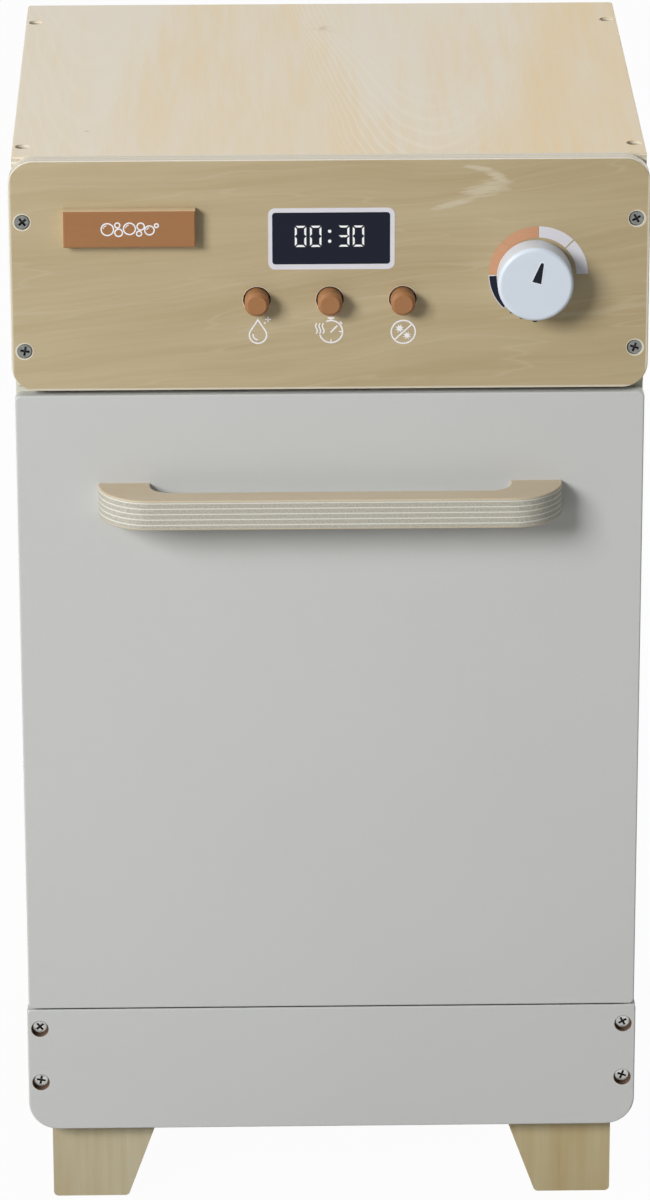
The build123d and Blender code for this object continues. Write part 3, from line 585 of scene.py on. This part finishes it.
for number, name in enumerate(["front_left", "front_right", "rear_left", "rear_right"]):
    pale, warm = FOOT_TONES[name.split("_")[1]]
    dress(SolidWood(f"{name}_foot_wood", "Z", pale, warm, 0.13 * number), f"{name}_foot")
rail_wood = SolidWood("rail_wood", "Y", BEECH_PALE, BEECH_WARM, 0.2)
dress(rail_wood, "lower_left_rail", "lower_right_rail", "upper_left_rail", "upper_right_rail")
dress(rail_wood, "soap_drawer_tray")
peg_wood = SolidWood("peg_wood", "Z", BEECH_PALE, BEECH_WARM, 0.5)
dress(peg_wood, "lower_rack_pegs", "upper_rack_pegs")
dowel_wood = SolidWood("dowel_wood", "X", BEECH_PALE, BEECH_WARM, 0.7)
dress(dowel_wood, "cabinet_dowels")


# Metal
# Countersunk screws with a cross recess, zinc plated except for the darker ones in the
# control panel, and the hinges, pins, magnets and discs. On the screws that face the front,
# the cross recess and a ring at the head's rim are painted shade.
# Painted shade for the cross recess and for a ring at each head's rim
RECESS_AND_RIM_SHADE = tint(16, 16, 17)
RECESS_DEPTH = 0.08 * MM
HEAD_SHADOW_RING = 0.6 * MM


def metal(name, colour, rough, scratch, head=None):
    """A metal. On screws that face the front, the cross recess and the head's rim get painted
    shade.
    """
    finish = Finish(name)
    place, parts = finish.place()
    spots = finish.noise(place, (700, 700, 700), 2.0, 0.6)
    lines = finish.noise(place, (300, 2600, 2600), 1.0)
    tone = finish.mix(finish.ramp(spots, 0.35, 0.75), colour, deeper(colour, 0.72))
    shine = 1.0
    if head is not None:
        face, head_x, head_zs = head
        # painted shade in the cross recess, and a painted shadow ring at the rim of each head
        recess = finish.ramp(parts["Y"] - face, RECESS_DEPTH, 2 * RECESS_DEPTH)
        aside = (abs(parts["X"]) - head_x) ** 2
        lower, upper = [(aside + (parts["Z"] - z) ** 2) ** 0.5 for z in head_zs]
        rim = finish.ramp(lower.least(upper), HEAD - HEAD_SHADOW_RING, HEAD)
        tone = finish.mix(recess.most(rim * 0.85), tone, RECESS_AND_RIM_SHADE)
        shine = 1.0 - recess
    finish.surface(lines + spots, scratch * MM, Base_Color=tone, Metallic=shine,
                   Roughness=rough + 0.18 * spots)
    return finish


panel_head = (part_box("control_panel_screws")[0].y, PANEL_SCREW_X, PANEL_SCREW_ZS)
dress(metal("dark_steel", tint(150, 152, 148), 0.3, 0.04, panel_head), "control_panel_screws")
kick_head = (SCREW_LOW.y, HEAD_X, HEAD_ZS)
dress(metal("kick_screw_zinc", tint(214, 214, 210), 0.3, 0.015, kick_head), "kick_plate_screws")
zinc = metal("zinc_steel", tint(196, 196, 194), 0.3, 0.015)
dress(zinc, "top_screws", "back_screws", "foot_screws", "hinge_screws", "handle_screws")
dress(zinc, "knob_washer", "knob_screw", "hinge_pins", "catch_discs")
dress(zinc, "left_hinge_bracket", "right_hinge_bracket")
dress(metal("magnet_nickel", tint(205, 205, 208), 0.16, 0.005), "door_magnets")


# Buttons and soap drawer
# Turned wooden buttons in terracotta satin paint, and a drawer block that is painted only
# on its front, with its natural wood showing on its top and sides.
TERRACOTTA = tint(161, 113, 72)
TERRACOTTA_RELIEF = 0.03 * MM
SOAP_LOW, SOAP_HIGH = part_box("soap_drawer_front")
SOAP_PAINT_DEPTH = 0.45 * MM
RAGGED_EDGE = 0.25 * MM


def terracotta(name, grain_waves, wood_behind=None):
    """Satin paint on wood. Where a depth is given, bare wood shows behind it."""
    finish = Finish(name)
    place, parts = finish.place()
    grain = finish.noise(place, grain_waves, 2.0, 0.6)
    cloud = finish.noise(place, (60, 60, 60), 1.0)
    uneven = grain * 0.5 + cloud * 0.3
    colour = finish.mix(uneven, TERRACOTTA, deeper(TERRACOTTA, 0.86))
    if wood_behind is not None:
        wood = finish.mix(grain, BEECH_PALE, BEECH_WARM)
        bare = parts["Y"] + grain * RAGGED_EDGE > wood_behind
        colour = finish.mix(bare, colour, wood)
    finish.surface(grain, TERRACOTTA_RELIEF, Base_Color=colour, Roughness=0.4 + 0.1 * grain,
                   Specular_IOR_Level=PAINT_SPECULAR)
    return finish


dress(terracotta("button_terracotta", (700, 80, 700)), "button_1", "button_2", "button_3")
soap_terracotta = terracotta("soap_terracotta", (40, 600, 600), SOAP_LOW.y + SOAP_PAINT_DEPTH)
dress(soap_terracotta, "soap_drawer_front")


# Knob
# A turned knob in white satin paint, cooler than the door, with soft brush rings round its
# axis. A screw through the panel holds it from behind.
KNOB_LOW, KNOB_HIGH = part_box("knob")
KNOB_WHITE, KNOB_SHADE = tint(212, 221, 232), tint(203, 211, 221)
KNOB_RELIEF = 0.012 * MM
knob_x = (KNOB_LOW.x + KNOB_HIGH.x) / 2
knob_z = (KNOB_LOW.z + KNOB_HIGH.z) / 2

knob_paint = Finish("knob_paint")
values = {"Vector": knob_paint.place()[0], "Location": (-knob_x, 0.0, -knob_z)}
centred = knob_paint.node("ShaderNodeMapping", {}, values)["Vector"]
parts = knob_paint.node("ShaderNodeSeparateXYZ", {}, {"Vector": centred})
radius = (parts["X"] ** 2 + parts["Z"] ** 2) ** 0.5
turned = knob_paint.node("ShaderNodeCombineXYZ", {}, {"X": radius, "Y": parts["Y"]})["Vector"]
rings = knob_paint.noise(turned, (1400, 1400, 1), 1.0)
cloud = knob_paint.noise(centred, (90, 90, 90), 2.0)
tone = knob_paint.mix(rings * 0.3 + cloud * 0.4, KNOB_WHITE, KNOB_SHADE)
knob_paint.surface(rings + cloud, KNOB_RELIEF, Base_Color=tone, Roughness=0.34 + 0.1 * cloud)
dress(knob_paint, "knob")


# Dial print
# Screen-printed arcs round the knob: one quarter orange, two eighths white and one eighth
# navy with a white border, and three navy dots that grow along the dial.
# Height of a print on its face, of one printed over another, and between two outlines
PRINT = 0.12 * MM
OVERPRINT = 0.2 * MM
INK_STEP = 0.002 * MM
DIAL_X = 98.8 * MM
DIAL_Z = 488.0 * MM
DIAL_OUTER = 23.6 * MM
DIAL_INNER = 18.1 * MM
PRINT_WHITE = tint(222, 220, 226)
PRINT_ORANGE = tint(203, 152, 117)
PRINT_NAVY = tint(20, 25, 41)
INK_RELIEF = 0.02 * MM
INK_SPECULAR = 0.2


def ink(name, colour, rough=0.45):
    """Printing ink on wood, with the grain faintly showing through."""
    finish = Finish(name)
    fibre = finish.noise(finish.place()[0], (40, 900, 1500), 2.0)
    tone = finish.mix(fibre, colour, deeper(colour, 0.9))
    finish.surface(fibre, INK_RELIEF, Base_Color=tone, Roughness=rough + 0.1 * fibre,
                   Specular_IOR_Level=INK_SPECULAR)
    return finish


white_ink = ink("white_ink", PRINT_WHITE)
orange_ink = ink("orange_ink", PRINT_ORANGE)
navy_ink = ink("navy_ink", PRINT_NAVY, 0.35)


def on_circle(x, z, radius, degrees):
    """A point on a circle seen from the front, with its angle counted from the right."""
    turn = math.radians(degrees)
    return x + radius * math.cos(turn), z + radius * math.sin(turn)


def arc(x, z, radius, start, end, steps):
    """Points along an arc, from one angle to another."""
    turns = [start + (end - start) * i / steps for i in range(steps + 1)]
    return [on_circle(x, z, radius, turn) for turn in turns]


def disc(x, z, radius, steps=28):
    return arc(x, z, radius, 0, 360, steps)[:-1]


def sector(x, z, inner, outer, start, end):
    """A piece of a flat ring."""
    steps = max(2, round(abs(end - start) / 3))
    return arc(x, z, outer, start, end, steps) + arc(x, z, inner, end, start, steps)


def printed(name, outlines, face, raised, finish, body="cabinet"):
    """A layer of ink: outlines of (x, z) points, raised towards the front from a face.

    Each outline stands a hair higher than the one before, so that crossing lines stay clean.
    """
    shape = bmesh.new()
    for number, outline in enumerate(outlines):
        level = face - raised - number * INK_STEP
        front = [shape.verts.new((x, level, z)) for x, z in outline]
        back = [shape.verts.new((x, face, z)) for x, z in outline]
        shape.faces.new(front)
        shape.faces.new(back[::-1])
        for i in range(len(outline)):
            j = (i + 1) % len(outline)
            shape.faces.new((front[j], front[i], back[i], back[j]))
    bmesh.ops.recalc_face_normals(shape, faces=shape.faces)
    mesh = bpy.data.meshes.new(name)
    shape.to_mesh(mesh)
    shape.free()
    mesh.materials.append(finish.material)
    piece = link(bpy.data.objects.new(name, mesh))
    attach(piece, body)


panel_face = PANEL_LOW.y
DIAL_BORDER = 0.32 * MM
# Degrees left bare between two arcs, and where a hair line splits the orange one
DIAL_BREAK = 0.9
DIAL_SPLIT = 136.0
DIAL_SPLIT_HALF = 0.2
DOT_LINE = 22.4 * MM
DOTS = [(236, 0.85 * MM), (250, 1.15 * MM), (266.5, 1.5 * MM)]

orange_arcs = [(90 + DIAL_BREAK / 2, DIAL_SPLIT - DIAL_SPLIT_HALF),
               (DIAL_SPLIT + DIAL_SPLIT_HALF, 180)]
outlines = [sector(DIAL_X, DIAL_Z, DIAL_INNER, DIAL_OUTER, *ends) for ends in orange_arcs]
printed("dial_orange", outlines, panel_face, PRINT, orange_ink)
white_arcs = [(0, 45 - DIAL_BREAK), (45 + DIAL_BREAK, 90 - DIAL_BREAK / 2)]
outlines = [sector(DIAL_X, DIAL_Z, DIAL_INNER, DIAL_OUTER, *ends) for ends in white_arcs]
outlines.append(sector(DIAL_X, DIAL_Z, DIAL_INNER, DIAL_OUTER, 181, 226))
printed("dial_white", outlines, panel_face, PRINT, white_ink)
bordered = (DIAL_INNER + DIAL_BORDER, DIAL_OUTER - DIAL_BORDER)
outlines = [sector(DIAL_X, DIAL_Z, *bordered, 182.0, 225.2)]
for turn, size in DOTS:
    outlines.append(disc(*on_circle(DIAL_X, DIAL_Z, DOT_LINE, turn), size))
printed("dial_navy", outlines, panel_face, OVERPRINT, navy_ink)


# Knob pointer
# A navy wedge with a white border printed on the knob's flat face, a little clockwise of
# upright, that turns with the knob.
POINTER_TURN = 15.5
POINTER_LENGTH = 10.2 * MM
POINTER_BASE = 4.4 * MM
POINTER_TIP = 1.6 * MM
POINTER_START = 1.2 * MM
POINTER_BORDER = 0.5 * MM


def wedge(grow):
    """The pointer's outline, grown outwards by a border."""
    low = POINTER_START - grow
    high = POINTER_START + POINTER_LENGTH + grow
    base = POINTER_BASE / 2 + grow
    tip = POINTER_TIP / 2 + grow
    return [(-base, low), (base, low), *arc(0, high - tip, tip, 0, 180, 9)]


def turned_on_knob(points):
    turn = math.radians(-POINTER_TURN)
    return [(knob_x + x * math.cos(turn) - z * math.sin(turn),
             knob_z + x * math.sin(turn) + z * math.cos(turn)) for x, z in points]


printed("pointer_border", [turned_on_knob(wedge(POINTER_BORDER))], KNOB_LOW.y, PRINT / 2,
        ink("bright_ink", tint(236, 238, 242)), "knob")
printed("pointer", [turned_on_knob(wedge(0))], KNOB_LOW.y, PRINT, navy_ink, "knob")


# Display
# A printed clock display: a white rounded border, a navy window and a time of day in white
# seven-bar numerals, with one bar shape repeated for every lit bar.
DISPLAY_X = (-29.1 * MM, 30.7 * MM)
DISPLAY_Z = (491.1 * MM, 521.4 * MM)
DISPLAY_CORNER = 3.4 * MM
WINDOW_X = (-27.2 * MM, 28.5 * MM)
WINDOW_Z = (493.7 * MM, 519.2 * MM)
WINDOW_CORNER = 1.5 * MM


def rounded_box(xs, zs, corner):
    """A rectangle with rounded corners."""
    left, right = xs[0] + corner, xs[1] - corner
    low, high = zs[0] + corner, zs[1] - corner
    middles = [(right, high), (left, high), (left, low), (right, low)]
    outline = []
    for quarter, (x, z) in enumerate(middles):
        outline += arc(x, z, corner, quarter * 90, (quarter + 1) * 90, 8)
    return outline


printed("display_border", [rounded_box(DISPLAY_X, DISPLAY_Z, DISPLAY_CORNER)], panel_face,
        PRINT, white_ink)
display_ink = ink("display_ink", tint(16, 22, 39), 0.34)
printed("display_window", [rounded_box(WINDOW_X, WINDOW_Z, WINDOW_CORNER)], panel_face,
        OVERPRINT, display_ink)

BAR = 4.5 * MM
BAR_WIDTH = 0.95 * MM
lit_ink = ink("lit_ink", tint(252, 252, 252))
DIGIT_WIDTH = 5.4 * MM
DIGIT_HEIGHT = 10.4 * MM
DIGIT_MIDDLE = 507.5 * MM
TIME = "00:30"
DIGIT_PLACES = (-13.8 * MM, -6.65 * MM, -0.03 * MM, 6.55 * MM, 13.55 * MM)
# The seven bars of a numeral: middle (share of half width, share of half height) and turn
BARS = {
    "top": (0, 1, 0), "upper_right": (1, 0.5, 270), "lower_right": (1, -0.5, 270),
    "bottom": (0, -1, 180), "lower_left": (-1, -0.5, 90), "upper_left": (-1, 0.5, 90),
    "middle": (0, 0, 0),
}
LIT = {
    "0": ("top", "upper_right", "lower_right", "bottom", "lower_left", "upper_left"),
    "3": ("top", "upper_right", "lower_right", "bottom", "middle"),
}


class Pattern:
    """A Geometry Nodes tree with named inputs, run once and kept as a plain mesh."""

    def __init__(self, name, inputs):
        self.name = name
        self.tree = bpy.data.node_groups.new(name, "GeometryNodeTree")
        face = self.tree.interface
        face.new_socket("Geometry", in_out="INPUT", socket_type="NodeSocketGeometry")
        self.keys = {}
        for label, kind in inputs.items():
            socket = face.new_socket(label, in_out="INPUT", socket_type=f"NodeSocket{kind}")
            self.keys[label] = socket.identifier
        face.new_socket("Geometry", in_out="OUTPUT", socket_type="NodeSocketGeometry")
        self.given = self.tree.nodes.new("NodeGroupInput").outputs

    def node(self, kind, settings=None, values=None):
        return add_node(self.tree, kind, settings, values)

    def end(self, geometry):
        """Turns instances into real faces with the tree's material."""
        real = self.node("GeometryNodeRealizeInstances", {}, {"Geometry": geometry})
        values = {"Geometry": real["Geometry"], "Material": self.given["Material"]}
        inked = self.node("GeometryNodeSetMaterial", {}, values)
        self.node("NodeGroupOutput", {}, {"Geometry": inked["Geometry"]})

    def run(self, seed_mesh, values, name):
        """The tree's result on a seed mesh, as an object at the origin."""
        seed = link(bpy.data.objects.new(f"{name}_seed", seed_mesh))
        modifier = seed.modifiers.new(self.name, "NODES")
        modifier.node_group = self.tree
        for label, value in values.items():
            modifier[self.keys[label]] = value
        graph = bpy.context.evaluated_depsgraph_get()
        mesh = bpy.data.meshes.new_from_object(seed.evaluated_get(graph), depsgraph=graph)
        bpy.data.objects.remove(seed)
        mesh.name = name
        return link(bpy.data.objects.new(name, mesh))


def turned_points(name, spots):
    """A mesh of loose points, each with the turn in radians of what will stand on it."""
    mesh = bpy.data.meshes.new(name)
    mesh.from_pydata([(x, y, z) for x, y, z, turn in spots], [], [])
    turns = mesh.attributes.new("turn", "FLOAT", "POINT")
    turns.data.foreach_set("value", [turn for x, y, z, turn in spots])
    return mesh


bars = Pattern("display_bars", {
    "Outer Length": "Float", "Bar Width": "Float", "Raised": "Float", "Material": "Material",
})
length = bars.given["Outer Length"]
width = bars.given["Bar Width"]
mitre = bars.node("ShaderNodeMath", {"operation": "MULTIPLY"}, {0: width, 1: 2.0})["Value"]
short = bars.node("ShaderNodeMath", {"operation": "SUBTRACT"}, {0: length, 1: mitre})["Value"]
values = {"Height": width, "Bottom Width": short, "Top Width": length, "Offset": 0.0}
outline = bars.node("GeometryNodeCurvePrimitiveQuadrilateral", {"mode": "TRAPEZOID"}, values)
flat = bars.node("GeometryNodeFillCurve", {}, {"Curve": outline["Curve"]})["Mesh"]
upright = bars.node("GeometryNodeTransform", {}, {
    "Geometry": flat, "Rotation": (math.radians(90), 0, 0),
})["Geometry"]
values = {"Mesh": upright, "Offset Scale": bars.given["Raised"], "Individual": False}
raised_bar = bars.node("GeometryNodeExtrudeMesh", {}, values)["Mesh"]
turned_back = bars.node("GeometryNodeFlipFaces", {}, {"Mesh": upright})["Mesh"]
values = {"Geometry": [raised_bar, turned_back]}
joined = bars.node("GeometryNodeJoinGeometry", {}, values)["Geometry"]
closed = bars.node("GeometryNodeMergeByDistance", {}, {"Geometry": joined, "Distance": 1e-6})
turn = bars.node("GeometryNodeInputNamedAttribute", {}, {"Name": "turn"})["Attribute"]
spin = bars.node("ShaderNodeCombineXYZ", {}, {"Y": turn})["Vector"]
stand = bars.node("GeometryNodeInstanceOnPoints", {}, {
    "Points": bars.given["Geometry"], "Instance": closed["Geometry"], "Rotation": spin,
})["Instances"]
bars.end(stand)

reach_x = (DIGIT_WIDTH - BAR_WIDTH) / 2
reach_z = (DIGIT_HEIGHT - BAR_WIDTH) / 2
spots = []
for sign, middle in zip(TIME, DIGIT_PLACES):
    for bar in LIT.get(sign, ()):
        aside, up, turn = BARS[bar]
        x = middle + aside * reach_x
        z = DIGIT_MIDDLE + up * reach_z
        spots.append((x, panel_face - OVERPRINT, z, math.radians(-turn)))
numerals = bars.run(turned_points("bar_points", spots), {
    "Outer Length": BAR, "Bar Width": BAR_WIDTH, "Raised": PRINT / 2,
    "Material": lit_ink.material,
}, "display_numerals")
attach(numerals, "cabinet")
COLON_REACH, COLON_DOT = 2.45 * MM, 0.8 * MM
colon = [disc(DIGIT_PLACES[2], DIGIT_MIDDLE + side * COLON_REACH, COLON_DOT) for side in (-1, 1)]
printed("display_colon", colon, panel_face - OVERPRINT, PRINT / 2, lit_ink)


# Button signs
# Three plain white line signs printed under the buttons: a water drop, a timer with steam,
# and a struck-out pair of germs.
STROKE = 0.7 * MM
FINE_STROKE = 0.6 * MM
SIGN_RIM = 5.5 * MM
sign_ink = ink("sign_ink", tint(242, 240, 242))


def stroke(points, width=STROKE):
    """The outline of a line of ink with round ends, along a path of (x, z) points."""
    half = width / 2
    sides = ([], [])
    for i, (x, z) in enumerate(points):
        before = Vector(points[max(i - 1, 0)])
        after = Vector(points[min(i + 1, len(points) - 1)])
        ahead = (after - before).normalized()
        sides[0].append((x + ahead.y * half, z - ahead.x * half))
        sides[1].append((x - ahead.y * half, z + ahead.x * half))
    (x0, z0), (x1, z1) = points[:2]
    start = math.degrees(math.atan2(z1 - z0, x1 - x0))
    (x0, z0), (x1, z1) = points[-2:]
    end = math.degrees(math.atan2(z1 - z0, x1 - x0))
    cap_end = arc(*points[-1], half, end - 90, end + 90, 6)[1:-1]
    cap_start = arc(*points[0], half, start + 90, start + 270, 6)[1:-1]
    return sides[0] + cap_end + sides[1][::-1] + cap_start


def ring(x, z, radius, width=STROKE, start=0, end=360):
    """A circle or part of one, drawn as two or more pieces of a flat ring."""
    middle = (start + end) / 2
    inner, outer = radius - width / 2, radius + width / 2
    return [sector(x, z, inner, outer, start, middle), sector(x, z, inner, outer, middle, end)]


def drop(x, z, radius, tip, width=STROKE):
    """A water drop's outline in two halves: round below, two straight sides to a tip."""
    outer, inner = radius + width / 2, radius - width / 2
    lean = math.degrees(math.acos(radius / tip))
    halves = []
    for start, end in ((90 - lean, -90), (90 + lean, 270)):
        outline = [(x, z + tip * outer / radius), *arc(x, z, outer, start, end, 20)]
        outline += [*arc(x, z, inner, end, start, 20), (x, z + tip * inner / radius)]
        halves.append(outline)
    return halves


DROP_X, DROP_Z = -34.2 * MM, 458.6 * MM
DROP_RADIUS, DROP_TIP, GLEAM_RADIUS = 4.1 * MM, 7.6 * MM, 2.3 * MM
STAR_X, STAR_Z, STAR_REACH = DROP_X + 4.8 * MM, DROP_Z + 7.8 * MM, 1.15 * MM
SPECK_X, SPECK_Z, SPECK = STAR_X - 1.45 * MM, STAR_Z - 1.8 * MM, 0.42 * MM

signs = drop(DROP_X, DROP_Z, DROP_RADIUS, DROP_TIP)
signs.append(stroke(arc(DROP_X, DROP_Z, GLEAM_RADIUS, 175, 262, 10)))
for turn in (0, 90):
    ends = [on_circle(STAR_X, STAR_Z, STAR_REACH, turn + half) for half in (180, 0)]
    signs.append(stroke(ends, FINE_STROKE))
signs.append(disc(SPECK_X, SPECK_Z, SPECK, 12))
printed("drop_sign", signs, panel_face, PRINT, sign_ink)

TIMER_X, TIMER_Z = 0.5 * MM, 460.1 * MM
CROWN_Z, CROWN_REACH, CROWN_THICK = TIMER_Z + 6.75 * MM, 1.2 * MM, 0.9 * MM
TIMER_LUG = 6.5 * MM
HAND_LOW, HAND_REACH = 0.3 * MM, 2.8 * MM
TICK = (4.0 * MM, 5.2 * MM)
# Three lines of steam: places, lower end, height of a step, swing and width
STEAM_XS = (-6.4 * MM, -4.8 * MM, -3.2 * MM)
STEAM_LOW, STEAM_STEP = TIMER_Z - 0.8 * MM, 0.48 * MM
STEAM_SWING, STEAM_WIDTH = 0.4 * MM, 0.62 * MM

signs = ring(TIMER_X, TIMER_Z, SIGN_RIM, start=196, end=474)
crown = [(TIMER_X + side * CROWN_REACH, CROWN_Z) for side in (-1, 1)]
signs.append(stroke(crown, CROWN_THICK))
signs.append(stroke([(TIMER_X, CROWN_Z), (TIMER_X, TIMER_Z + SIGN_RIM)]))
signs.append(stroke(arc(TIMER_X, TIMER_Z, TIMER_LUG, 37, 47, 3)))
hand = [(TIMER_X, TIMER_Z - HAND_LOW), (TIMER_X + HAND_REACH, TIMER_Z + HAND_REACH)]
signs.append(stroke(hand))
for turn in (0, 270):
    tick = [on_circle(TIMER_X, TIMER_Z, radius, turn) for radius in TICK]
    signs.append(stroke(tick, FINE_STROKE))
for steam_x in STEAM_XS:
    wave = []
    for step in range(11):
        swing = STEAM_SWING * math.sin(math.radians(36 * step))
        wave.append((steam_x + swing, STEAM_LOW + STEAM_STEP * step))
    signs.append(stroke(wave, STEAM_WIDTH))
printed("timer_sign", signs, panel_face, PRINT, sign_ink)

GERM_X, GERM_Z = 34.85 * MM, 459.7 * MM
GERM_RING = SIGN_RIM + 0.2 * MM
# Each germ's place from the middle of the sign, and its size
GERMS = [(-1.75 * MM, 1.75 * MM, 1.25 * MM), (1.8 * MM, -1.8 * MM, 1.1 * MM)]
SPIKES = 8
SPIKE_START = 20
SPIKE_OUT = 0.35 * MM
SPIKE_LENGTH, SPIKE_WIDTH = 0.8 * MM, 0.42 * MM

signs = ring(GERM_X, GERM_Z, GERM_RING)
signs.append(stroke([on_circle(GERM_X, GERM_Z, SIGN_RIM, turn) for turn in (223, 43)]))
for aside, up, size in GERMS:
    signs.append(disc(GERM_X + aside, GERM_Z + up, size))
printed("germ_sign", signs, panel_face, PRINT, sign_ink)

spikes = Pattern("germ_spikes", {
    "Spike Length": "Float", "Spike Width": "Float", "Raised": "Float", "Material": "Material",
})
size = spikes.node("ShaderNodeCombineXYZ", {}, {
    "X": spikes.given["Spike Length"],
    "Y": spikes.given["Raised"],
    "Z": spikes.given["Spike Width"],
})["Vector"]
spike = spikes.node("GeometryNodeMeshCube", {}, {"Size": size})["Mesh"]
turn = spikes.node("GeometryNodeInputNamedAttribute", {}, {"Name": "turn"})["Attribute"]
spin = spikes.node("ShaderNodeCombineXYZ", {}, {"Y": turn})["Vector"]
spikes.end(spikes.node("GeometryNodeInstanceOnPoints", {}, {
    "Points": spikes.given["Geometry"], "Instance": spike, "Rotation": spin,
})["Instances"])
spots = []
for aside, up, size in GERMS:
    for number in range(SPIKES):
        turn = SPIKE_START + number * 360 / SPIKES
        x, z = on_circle(GERM_X + aside, GERM_Z + up, size + SPIKE_OUT, turn)
        spots.append((x, panel_face - PRINT / 2, z, math.radians(-turn)))
germ_spikes = spikes.run(turned_points("spike_points", spots), {
    "Spike Length": SPIKE_LENGTH, "Spike Width": SPIKE_WIDTH, "Raised": PRINT,
    "Material": sign_ink.material,
}, "germ_spikes")
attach(germ_spikes, "cabinet")


# Soap drawer print
# A few plain white soap bubbles on the drawer's painted front, drawn as rings with a short
# gleam inside the larger ones.
BUBBLES = [
    # place along the drawer's front, height above its middle and size, in millimetres
    (-10.2, 0.1, 2.9), (-5.5, 2.1, 1.2), (-4.9, -1.5, 1.8), (0.2, 0.4, 2.8),
    (4.7, -2.0, 1.2), (5.5, 1.5, 1.7), (9.6, -0.4, 2.2), (12.9, 1.9, 0.9),
]
BUBBLE_LINE, GLEAM_LINE = 0.65 * MM, 0.42 * MM
GLEAM_INSIDE = 0.95
LEAST_WITH_GLEAM = 1.8
soap_x = (SOAP_LOW.x + SOAP_HIGH.x) / 2
soap_z = (SOAP_LOW.z + SOAP_HIGH.z) / 2
outlines = []
for aside, up, size in BUBBLES:
    x, z = soap_x + aside * MM, soap_z + up * MM
    outlines += ring(x, z, size * MM, BUBBLE_LINE)
    if size > LEAST_WITH_GLEAM:
        gleam = arc(x, z, (size - GLEAM_INSIDE) * MM, 105, 165, 5)
        outlines.append(stroke(gleam, GLEAM_LINE))
printed("soap_bubbles", outlines, SOAP_LOW.y, PRINT, sign_ink, "soap_drawer")


# Button springs
# Coils of drawn steel wire between each button's collar and the guide block behind it.
SPRING_WIRE = 0.4 * MM
SPRING_TURNS = 5.0
spring_steel = metal("spring_steel", tint(150, 152, 156), 0.28, 0.01)

coils = Pattern("coil_spring", {
    "Turns": "Float", "Coil Radius": "Float", "Coil Length": "Float", "Wire Radius": "Float",
    "Material": "Material",
})
radius = coils.given["Coil Radius"]
spiral = coils.node("GeometryNodeCurveSpiral", {}, {
    "Resolution": 36, "Rotations": coils.given["Turns"], "Start Radius": radius,
    "End Radius": radius, "Height": coils.given["Coil Length"],
})["Curve"]
values = {"Resolution": 12, "Radius": coils.given["Wire Radius"]}
section = coils.node("GeometryNodeCurvePrimitiveCircle", {}, values)["Curve"]
values = {"Curve": spiral, "Profile Curve": section, "Fill Caps": True}
coil = coils.node("GeometryNodeCurveToMesh", {}, values)["Mesh"]
laid = coils.node("GeometryNodeTransform", {}, {
    "Geometry": coil, "Rotation": (math.radians(-90), 0, 0),
})["Geometry"]
coils.end(coils.node("GeometryNodeInstanceOnPoints", {}, {
    "Points": coils.given["Geometry"], "Instance": laid,
})["Instances"])

for number, place in enumerate(["left", "middle", "right"], 1):
    node = f"button_spring_{number}"
    low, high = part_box(node)
    start = ((low.x + high.x) / 2, low.y + SPRING_WIRE, (low.z + high.z) / 2, 0.0)
    spring = coils.run(turned_points(f"{place}_spring_point", [start]), {
        "Turns": SPRING_TURNS, "Coil Radius": (high.x - low.x) / 2 - SPRING_WIRE,
        "Coil Length": high.y - low.y - 2 * SPRING_WIRE, "Wire Radius": SPRING_WIRE,
        "Material": spring_steel.material,
    }, f"{place}_button_spring")
    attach(spring, "cabinet")
    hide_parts(node)
    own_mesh(spring)


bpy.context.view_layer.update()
